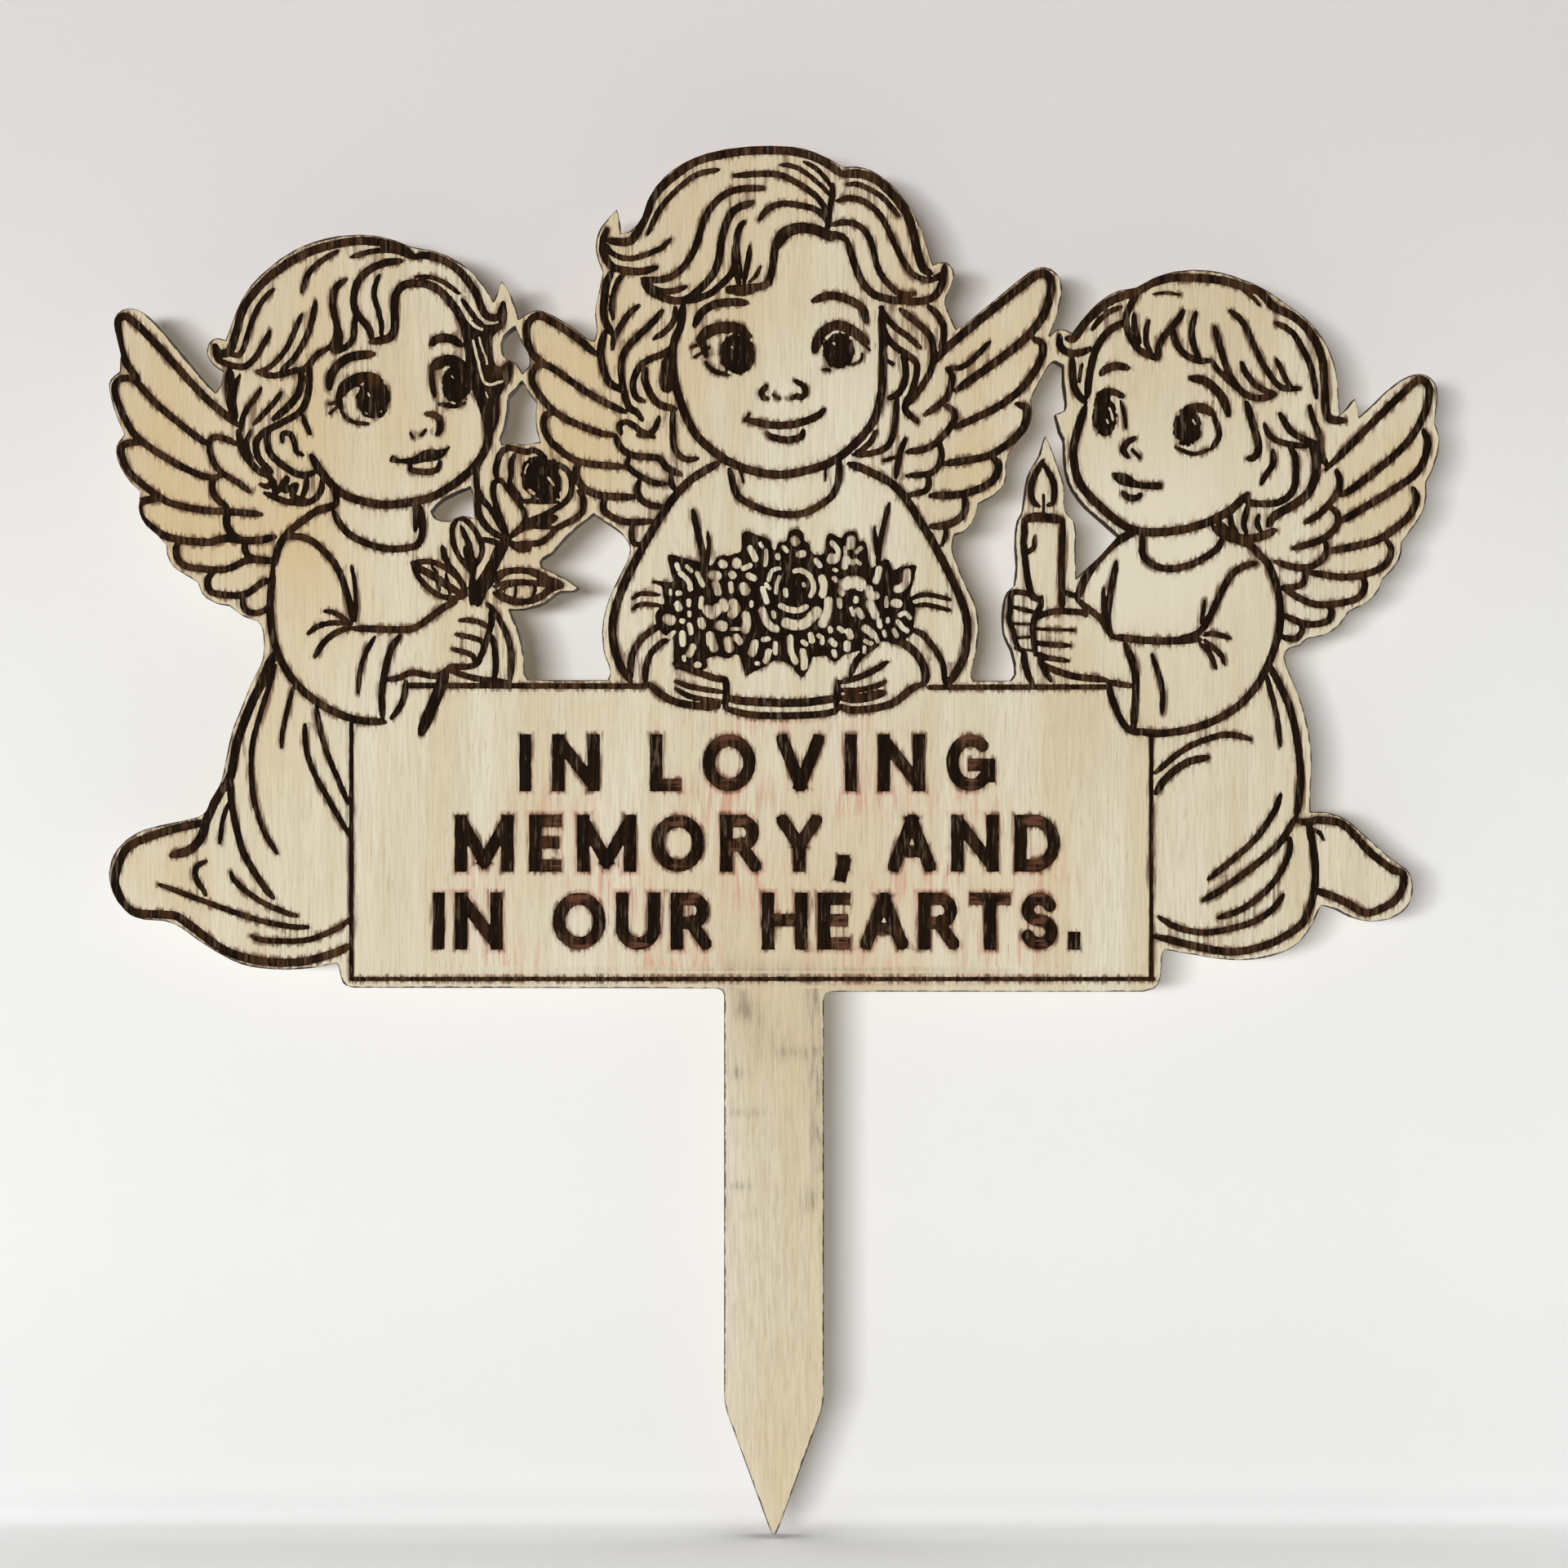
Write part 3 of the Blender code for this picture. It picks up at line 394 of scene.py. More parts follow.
RIGHT_HAIR = [
    (1.1, (42.9, 180.3), (43.1, 178.5), (44.5, 177.7), (46, 177.7), (47.5, 178.3)),
    (1.2, (44, 179.8), (45, 179.8), (47, 182.5), (50.5, 185.4), (54.5, 186.9), (56.5, 188),
     (58.5, 188.7), (61, 189), (67, 188.6), (71.5, 187.3), (73, 186.8), (75.2, 184.5), (77, 183.7),
     (79, 182.4), (80.5, 180.8), (81.8, 178.5), (82.5, 176), (83, 168.8), (83.7, 167.7), (85.8, 167.5)),
    (0.8, (47.8, 181.2), (49, 182.7), (50.5, 183.9), (52.2, 184.6)),
    (0.5, (57, 186.5), (59, 186.7), (61, 186.4)),
    (0.6, (70.5, 187), (72, 186), (73, 184.8)),
    (0.9, (75.3, 182.2), (77, 181.4), (78.3, 180.2), (80.7, 175.5), (81.5, 171)),
    (1, (54.8, 187), (53, 183.5), (53, 181.5), (54.7, 178.3), (57.5, 177), (57.8, 178.5), (58.5, 180),
     (60.8, 182.8), (61.5, 184)),
    (0.9, (54.1, 183.5), (54.2, 181.5), (55, 179.2)),
    (0.8, (56.3, 182.5), (55.9, 181), (56, 179), (56.8, 177.6)),
    (1, (59.8, 181.5), (60.3, 179.5), (61.2, 178), (62.5, 177), (64, 176.5), (65.5, 176.5)),
    (0.9, (63.4, 183.7), (62.9, 182), (62.8, 180.2), (63.2, 178.5), (63.9, 177)),
    (1, (66.2, 181.5), (68.2, 175), (70.3, 171.8), (72, 171), (73.5, 170.9), (75.3, 171.4)),
    (0.8, (65.8, 176.5), (67, 174.8), (69.6, 172.2)),
    (0.9, (68.5, 184), (69.8, 183), (71, 181.3), (73, 176.8), (75.3, 173.3), (76.5, 172.4),
     (79, 172.3)),
    (0.9, (70.3, 176.2), (71, 174.5), (72.3, 172.9), (73.8, 172), (75.3, 171.6)),
    (0.8, (75.5, 176.7), (77, 173.5), (77.8, 172.4)),
    (1.1, (71, 170.2), (72.7, 164.3), (72.8, 163), (72, 161.9), (71.2, 161.8)),
    (0.9, (73.7, 166.9), (74.5, 165.3), (76, 164.3), (80, 163.6)),
    (1, (76, 168.5), (78, 165.6), (82, 163.8)),
    (0.9, (80.5, 169.7), (80.9, 168), (82, 165), (82.2, 163), (83.2, 160.3)),
    (1, (77.5, 163.5), (78.3, 162), (78.3, 158), (77.5, 156.3), (76, 155.3), (74.2, 155), (71.2, 155.3),
     (71.2, 156.3)),
    (1.3, (80.8, 163.8), (81.4, 162), (81.5, 160), (81, 158), (80, 156.3), (78.5, 155.1), (75, 153),
     (74.3, 151.8)),
    (0.9, (73.2, 158), (74, 159.5), (75, 161), (75, 163)),
    (0.9, (71.3, 155), (70.6, 152), (71, 150.5)),
    (0.9, (68.5, 153.8), (68.7, 152), (69.5, 150.8)),
    (0.9, (72.8, 153.3), (72.6, 152), (73.2, 150.8)),
    (1.2, (66.5, 152.5), (68, 151), (70, 149.9), (72.5, 149.9), (75.3, 151)),
]

RIGHT_FACE = [
    (1.1, (53, 182.5), (50, 180.7), (48, 177.2), (47, 171)),
    (1.1, (44.8, 177), (45, 173), (45.8, 171.3), (46.8, 170.2)),
    (0.6, (46.3, 176), (46, 174.5), (45.9, 173.3)),
    (1.2, (46.7, 169.5), (45.2, 164.5), (45, 162), (46, 158), (50.8, 153), (54.3, 151), (59, 150.8),
     (64, 151.8), (68.5, 154), (71.2, 156.5)),
    (1.2, (49.1, 174.5), (50, 175.3), (51.5, 175.7), (53.2, 175.4)),
    (1.2, (48.5, 170.5), (49.3, 171.5), (50.5, 171.8), (52.4, 171.2)),
    (0.6, (52, 170.5), (52.5, 169), (52.9, 166.4)),
    (1.3, (62.6, 173.9), (64.8, 173.4), (67.2, 171.2), (68.3, 168.4)),
    (1.4, (61.2, 168.2), (62.4, 169.2), (64.4, 169.4), (66, 168.5)),
    (0.9, (66.1, 168.2), (66.9, 165.4), (65.8, 163.3)),
    (0.6, (60.4, 163.4), (63.1, 162.5), (65.5, 163.2)),
    (1, (54.2, 164.9), (52.9, 164), (52.5, 163), (53.2, 162)),
    (0.9, (53.8, 163.1), (54.9, 162)),
    (1, (52.4, 156.7), (53.2, 156), (54.4, 155.9), (55.1, 156.4)),
]

RIGHT_BODY = [
    (1, (55.3, 150.3), (55.6, 147), (58.5, 145.3), (62.5, 145.8), (66.3, 148), (67.2, 149.3),
     (67.5, 150.3)),
    (1.2, (54.3, 150.9), (50.8, 148.8), (47.5, 145), (45.5, 140.8)),
    (1.1, (66, 151.5), (67.5, 150.3), (71.5, 148.8), (73, 147.3), (74.3, 145.8), (75.8, 141.5),
     (76, 136.5), (74.6, 131.7), (72.2, 127.2), (68.5, 123.7), (63.5, 121.4), (58, 120.5),
     (54.2, 120.9)),
    (1, (72.5, 146.1), (70.8, 145.7), (69.3, 144.8), (68, 143.2), (65.2, 137.5), (64.2, 136),
     (63, 135.2), (61, 134.8)),
    (0.6, (64.7, 140.5), (64.5, 138.8), (64.2, 137)),
    (0.8, (64.5, 135.3), (66, 135.5), (68.6, 134.8)),
    (0.8, (64.7, 134.5), (67.2, 132.2), (67.7, 130.9)),
    (0.8, (64, 134), (65.3, 132.8), (66.4, 130.3)),
    (1.1, (51, 135), (57, 134.4), (64, 134.6)),
    (1, (51.4, 146.2), (50.1, 138.5), (50.3, 136.3), (50.8, 135)),
    (0.7, (49.5, 142.3), (49.5, 140), (49.6, 138)),
    (1, (45.7, 140.5), (47.2, 139.2), (49, 137.8), (50.8, 135)),
    (1.1, (52.8, 133.9), (54.3, 129.5), (54, 121)),
    (1, (50.3, 128.3), (50.6, 126.3), (52.3, 122.3), (53.5, 121), (55, 120.5)),
    (0.9, (50, 128.3), (52, 127.9), (54, 127.6)),
    (0.8, (56.8, 132.3), (58.3, 127.5), (58.3, 123.5)),
]

HAND_AND_CANDLE = [
    (0.9, (38.8, 137.5), (40, 138.2), (42, 138.8), (46, 138.7), (47, 138.2)),
    (0.8, (39.5, 136.2), (45.2, 136)),
    (0.8, (39, 134.2), (41, 133.9), (44.5, 133.7)),
    (0.8, (39.3, 132.6), (41, 131.9), (44.2, 131.4)),
    (1, (40, 130.9), (44.5, 129.2), (50, 128.5)),
    (0.8, (38.7, 141.3), (37, 141.7), (35.7, 141.5), (35.5, 139), (35.3, 137.7), (36, 135.8),
     (36.4, 134), (37, 133)),
    (0.7, (36, 139.5), (37.5, 139.1), (39.2, 138.7)),
    (0.7, (35.8, 137), (38.5, 136.9)),
    (0.7, (35.9, 134.8), (38.7, 135)),
    (0.7, (36.2, 133.3), (39, 132.9)),
    (0.9, (40.2, 141), (40, 139.5), (39.2, 138), (38.9, 136), (39.3, 132.3)),
    (1, (37.5, 133), (37.7, 131), (38.3, 129), (38.9, 128)),
    (0.9, (40, 132.5), (40.2, 131), (41.6, 128.4)),
    (1, (37.6, 152.6), (37.6, 150.5), (37.5, 148.8), (38.7, 141.3), (40.2, 140.5)),
    (1, (43.4, 152.5), (43.2, 146), (43.3, 139)),
    (1.4, (37.8, 152.7), (39.5, 153), (43.3, 152.6)),
    (0.8, (39.2, 150), (39, 148.5), (38.2, 147.8), (37.3, 148)),
    (0.7, (40.5, 152.8), (40.5, 156.3)),
    (0.9, (40.4, 161.5), (38.8, 158.3), (38.6, 156.7), (39, 155.3), (39.8, 154.6)),
    (0.9, (40.5, 161), (42, 158.2), (41.9, 155.2), (41.2, 154.8)),
    (0.9, (43.5, 141.8), (44.8, 141.3), (46, 141.2)),
]

RIGHT_ROBE = [
    (1.1, (74.5, 130.7), (77.6, 124), (79.1, 115.5), (78.9, 110.5), (78.5, 108.3)),
    (0.8, (73.9, 129.5), (75.5, 123.3), (76.1, 118.7)),
    (0.9, (76.1, 111.3), (75.3, 109), (72, 104.3), (65.3, 98.6)),
    (1, (78.5, 108), (75.5, 103.5), (68, 97.5), (64.5, 95.4)),
    (0.9, (77.5, 104.8), (77.4, 102.5), (75, 98), (70.5, 94.2), (66.8, 92.8)),
    (0.9, (76.5, 96.2), (75.3, 94.5), (73.5, 93), (71, 91.8), (65.5, 90.6), (62.5, 90.8), (60, 91.6),
     (57.8, 92.9)),
    (0.9, (57.3, 114.6), (62, 118.3), (67, 120.2), (69.5, 120.2), (71.6, 119.6)),
    (1.1, (57.3, 111.5), (58.5, 113.3), (60.5, 115.2), (62.5, 116.3), (65.2, 116.9)),
    (1.1, (78.8, 107.3), (80.3, 107.2), (82, 107.5), (85.5, 106.8), (89.5, 102.7), (93, 100),
     (94.4, 99.5), (94.6, 98), (94, 96.3), (92.8, 95), (89.8, 93.6), (88.3, 93.7), (86.5, 94.8),
     (84.5, 95.8), (81.2, 97)),
    (1.1, (80.3, 107), (81.2, 102), (81.2, 97), (79.7, 92.5), (78.3, 91), (74, 88.7), (68, 87.7),
     (57.3, 90)),
    (0.6, (80.5, 106.3), (82, 105.5), (82.6, 104.5)),
]

RIGHT_WING = [
    (1.1, (83, 160.2), (96.5, 173.5), (97.7, 173.5), (98.5, 172), (97.4, 167.8), (94.5, 163.5),
     (87, 157.3), (85.2, 156.3)),
    (1.1, (97.6, 166), (98.2, 164.5), (97.9, 162.3), (97, 160.3), (95.5, 158.7), (86.3, 153),
     (84.7, 152.3)),
    (1.1, (96, 157.3), (96.5, 156), (96.1, 154.3), (95, 152.7), (91.5, 150), (89, 149), (83.5, 147.9)),
    (1, (92, 149.5), (92.7, 148.3), (92.4, 146.7), (91.3, 145.4), (88, 144.2), (85, 144), (80, 144.8)),
    (1, (88.3, 144.3), (88.8, 143), (88.4, 141.5), (87, 140.5), (82.5, 139.8), (80, 140.3),
     (76.5, 142.3)),
    (1, (83.3, 139.8), (83.8, 138.7), (83.2, 137.4), (80, 136.9), (76.5, 138.3)),
    (0.9, (79.3, 137.3), (79.3, 135.8), (78.5, 134.8), (77, 134.8), (76, 135.2)),
    (1, (84.5, 160), (85, 158.5), (84.7, 156.8), (82, 153.5), (79.8, 152.2)),
    (1, (83.7, 154.5), (84.7, 153.3), (84.5, 151.6), (83.2, 150.2), (81.5, 149.3), (78, 148.3)),
    (1, (82.8, 149.3), (83.1, 148), (82.3, 146.6), (80.8, 145.6), (78.5, 145.4), (75.3, 146.3)),
    (0.9, (79.8, 145.3), (79.8, 143.7), (79, 142.7), (76.2, 142.4)),
]

PANEL = [
    (1.1, (-63.5, 122.8), (-63.5, 83.6)),
    (1, (-63.5, 83.6), (57, 83.6)),
    (1, (56.7, 83.6), (56.7, 120.3)),
    (1.4, (-55, 127.7), (-19.3, 127.6)),
    (1.3, (23.3, 127.4), (50.3, 127.5)),
]

ROSE = [
    (0.9, (-41.6, 158.6), (-41.8, 160), (-41.5, 161.5), (-40.8, 162.9), (-39.7, 163.4), (-38.2, 163),
     (-37, 162.8), (-36.2, 163), (-35.2, 162.6), (-34.2, 161.5), (-32.8, 160.9), (-31.3, 160.2),
     (-30.5, 159), (-30.4, 157.5), (-30.7, 156.2), (-31.5, 155.2), (-32.8, 154.3), (-34.5, 153.3),
     (-36.5, 152.5), (-38, 152)),
    (0.9, (-39, 162.4), (-39.5, 161.2), (-39.5, 159.8), (-39.7, 158.5)),
    (0.8, (-39.9, 158.6), (-39.4, 157.6), (-38.5, 156.4), (-37.6, 155.5), (-36.4, 155.4),
     (-34.6, 155.4), (-32.6, 155.3)),
    (0.9, (-40.9, 158.6), (-42, 158.2), (-42.2, 156.6), (-41.8, 154.9), (-41, 152.6), (-40.4, 151),
     (-40, 149.9)),
    (0.8, (-41, 158.5), (-40.1, 157.4), (-39, 156), (-38.1, 154.8), (-37.5, 153.5), (-37.5, 152.4),
     (-38.1, 151.4), (-39.2, 150.5), (-39.7, 149.8)),
    (1.5, (-37.2, 152), (-35.8, 152), (-34.4, 152.3), (-32.9, 152.9)),
    (0.7, (-39.2, 150.1), (-38, 151.1), (-36.4, 151.6), (-34.5, 151.5), (-33, 151.4)),
    (0.9, (-29.4, 156.9), (-28.8, 156.2), (-28.6, 155), (-28.8, 153.8), (-29.8, 152.8), (-31.5, 151.9),
     (-32.8, 151.2), (-33.8, 150.1), (-35, 149.2), (-36.5, 149), (-38.7, 149)),
    (1.3, (-39.6, 149.1), (-38.3, 148.4), (-36.8, 148.2)),
    (0.9, (-44.4, 161), (-44.7, 159.5), (-44.6, 157.4), (-43.9, 155.8), (-42.9, 154.6), (-41.8, 153),
     (-40.7, 150.8)),
    (1, (-44.6, 157.4), (-44.5, 155), (-44.3, 153.4), (-43.4, 151.8), (-42.2, 150.7), (-40.4, 149.8)),
    (0.9, (-43.9, 149.7), (-42.5, 149.4), (-41, 148.9)),
    (1.5, (-40.1, 149.9), (-40.8, 148.4), (-41.8, 146.4), (-43, 144), (-43.9, 142), (-44.5, 140)),
    (0.8, (-47.4, 152.9), (-48.2, 151.7), (-48.3, 150), (-47.9, 148.3), (-47.2, 146.9), (-46.2, 145.7),
     (-45.4, 144.7), (-45.2, 142.5), (-45.1, 140.6)),
    (0.8, (-47.4, 152.9), (-46.3, 152.5), (-45.2, 151.4), (-44.4, 150), (-43.9, 148.6), (-44, 147.2),
     (-44.7, 146), (-45.3, 145)),
    (0.8, (-47, 151.6), (-46.4, 150.2), (-45.8, 148.9), (-45.4, 147.2), (-45.3, 145.2)),
    (0.9, (-46.4, 148.4), (-46.1, 147), (-45.6, 145.8)),
    (0.7, (-49.5, 148.3), (-49.4, 147.2), (-48.9, 146.5)),
    (0.8, (-54.4, 146.1), (-52.8, 146.3), (-51.2, 146.2), (-49.6, 145.5), (-47.9, 144.2),
     (-46.7, 142.8), (-46.3, 141.2)),
    (0.8, (-54.3, 146), (-53.7, 144.5), (-52.7, 143.1), (-51.1, 141.7), (-49.2, 140.9), (-46.6, 140.9)),
    (1.1, (-53.8, 145.6), (-52, 144.6), (-50.2, 143.5), (-48.6, 142.4), (-46.8, 141.4)),
    (0.6, (-51.4, 145.6), (-50.8, 144.6), (-50.6, 143.4), (-50.2, 142)),
    (0.6, (-49.3, 144.4), (-49, 143), (-48.7, 141.4)),
    (0.9, (-41.7, 143.2), (-40.6, 144.5), (-39, 145), (-37.2, 144.9), (-35.8, 144.4), (-34.6, 143.6),
     (-33.5, 143), (-32.1, 142.6)),
    (0.9, (-32.3, 142.5), (-33.5, 142.1), (-34.8, 141.2), (-36.2, 140.5), (-38, 140.3), (-39.8, 140.7),
     (-41, 141.3), (-41.6, 142.1)),
    (0.8, (-41.4, 142), (-40, 142.8), (-38.5, 143.1), (-36.5, 143.1), (-34.5, 142.9), (-33, 142.7)),
    (0.5, (-40.3, 142.5), (-40.6, 141.4)),
    (0.5, (-38.9, 142.9), (-38.8, 141.8), (-39, 140.8)),
    (0.5, (-36, 143), (-35.9, 142), (-36.4, 140.9)),
    (1.7, (-49.3, 129.5), (-50.5, 126.6), (-53, 120.6)),
]

# Light lines left standing inside dark areas.
FINE_LIGHTS = [
    (0.3, (-45.2, 179.5), (-44.6, 177), (-44, 174.5), (-43.5, 173.2), (-42.5, 172.9), (-41.6, 173.2),
     (-40.8, 173.4)), (0.2, (-44.3, 180), (-43.9, 178.5), (-43.3, 177), (-43.1, 176)),
    (0.35, (-46.6, 183.9), (-45.8, 182.6), (-44.8, 181.6), (-43.9, 181.2)),
    (0.1, (-43.3, 171.8), (-43, 171)), (0.15, (-61, 171.6), (-60.8, 171.2)),
    (0.1, (-59.3, 168.6), (-59, 168.9)), (0.1, (-61.4, 168.7), (-61.1, 168.5)),
    (0.15, (-48.4, 174.2), (-48.2, 173.9)), (0.15, (-6.4, 178.6), (-6.2, 178.4)),
    (0.25, (8.9, 179.2), (9.1, 179)), (0.2, (50.4, 169.4), (50.7, 168.6), (50.9, 167.6)),
    (0.2, (50, 167.6), (50.2, 167.1)), (0.2, (62.9, 167.6), (63.3, 167)),
    (0.25, (-33.9, 158.9), (-33.5, 158.4), (-33.1, 157.8)),
    (0.3, (-36.8, 157.1), (-36.5, 156.8), (-36.1, 156.5)),
    (0.12, (-37.4, 159.6), (-37.3, 160.3), (-36.9, 161)),
    (0.12, (-37.5, 161.9), (-38.3, 161.3), (-38.5, 160.3)),
    (0.55, (-38.8, 158.1), (-38.1, 157.3), (-37.4, 156.5), (-36.9, 156.1)),
    (0.4, (-31.8, 159.3), (-31.2, 158.6), (-31.1, 157.5), (-31.5, 156.5)),
]

# Filled areas, each a closed smooth loop.
LEFT_LIPS = [
    (-57.8, 161.3), (-57.3, 162.4), (-56.5, 161.8), (-54.2, 162.1), (-52.5, 163.1), (-49.8, 163.2),
    (-48.6, 163.7), (-49.4, 162.3), (-50.3, 161.6), (-52.8, 161.2), (-54.2, 160.9), (-56.3, 161.1),
]
RIGHT_LIPS = [
    (50.7, 159.5), (51.3, 159.7), (53, 159.5), (54.9, 158.3), (58.2, 158.2), (58.2, 157.2),
    (55.9, 157.2), (54.2, 157.4), (52.2, 157.8), (51.2, 158.5),
]
ROSE_HEART = [
    (-38, 159.4), (-37.7, 161), (-36.4, 162.2), (-34.7, 161.9), (-33.2, 161), (-32.1, 159.4),
    (-31.9, 157.4), (-32.5, 155.6), (-34.4, 155.3), (-36.2, 155.9), (-37.5, 157.2),
]
LEFT_HAIR_SIDE = [
    (-46.9, 182.3), (-45.8, 178.5), (-45.4, 175.8), (-45, 173.2), (-44, 171.3), (-43.3, 169),
    (-43.2, 166), (-43.6, 163.8), (-44.7, 161.8), (-43.6, 161.4), (-43, 163.2), (-42.4, 165),
    (-41.6, 166.8), (-41.2, 168.3), (-41.2, 171), (-40.6, 172.2), (-39.7, 173.2), (-39.4, 174.6),
    (-39.5, 176), (-40.3, 175.3), (-41.2, 175.3), (-42, 176.4), (-42.3, 178.2), (-42.3, 180),
    (-41.4, 181), (-43.6, 181.4),
]
LEFT_EAR_CURL = [
    (-16.9, 172), (-15.4, 171.8), (-15, 175), (-15.1, 178.2), (-16.6, 177), (-17.2, 174),
]
BOUQUET = [
    (-15.9, 147.3), (-14, 147), (-11.6, 146.4), (-10, 145.9), (-9.3, 145.8), (-8.6, 147), (-7.7, 147.3),
    (-6.8, 147.2), (-6, 147.5), (-5, 147.9), (-4.8, 150.5), (-4, 150.9), (-2.5, 150.3), (-1.2, 149.9),
    (-0.5, 149.3), (-0.2, 148.2), (0.2, 148.1), (0.6, 149.1), (1.8, 149.4), (2.2, 150.7), (3.2, 151.2),
    (4.3, 150.8), (4.6, 149.5), (5.2, 149), (5.7, 147.7), (6.5, 147.3), (7.5, 147.6), (7.9, 150.2),
    (8.5, 150.6), (9.3, 150.2), (10.1, 149.9), (10.7, 150.6), (11.8, 150.9), (12.5, 150.4),
    (12.8, 149.4), (13.5, 149.4), (14, 148.6), (14.2, 146.5), (14.6, 145.4), (15.1, 145.6),
    (16.4, 146.6), (17.1, 146.6), (17.6, 145.6), (18, 145.1), (19, 145.5), (20, 145.7), (21.4, 145.7),
    (21.2, 144.5), (20.9, 143), (20.4, 141.4), (21.2, 139.5), (21.1, 138), (21, 136.3), (20.7, 135.3),
    (19.5, 134.5), (18.5, 133.8), (17.6, 134), (16.7, 134.3), (14.9, 134), (13.4, 133), (12.8, 132.9),
    (10.4, 132.2), (9.6, 131.4), (9, 131.2), (7.8, 132.1), (6.5, 132), (5.8, 131.9), (5.2, 130.2),
    (4.3, 128.9), (3.7, 129.2), (2.8, 130.4), (1.5, 131.2), (0, 131.4), (-1, 130.7), (-2.5, 130),
    (-4.3, 129.2), (-4.6, 130), (-5, 131.5), (-5.3, 132.2), (-6, 132.3), (-6.6, 131.8), (-7.4, 131.8),
    (-8.5, 132.1), (-9.5, 131.9), (-10.1, 131.6), (-10, 130.5), (-11, 130), (-13.6, 130.4),
    (-14.8, 130.1), (-15.1, 133), (-15.3, 134.7), (-16.7, 135.4), (-17.7, 137), (-17.8, 138.5),
    (-17.2, 139.3), (-16.5, 140.2), (-16.7, 141.3), (-17, 142.8), (-18.2, 143), (-18.2, 143.4),
    (-17, 143.4), (-15.2, 143.3), (-15.6, 145),
]
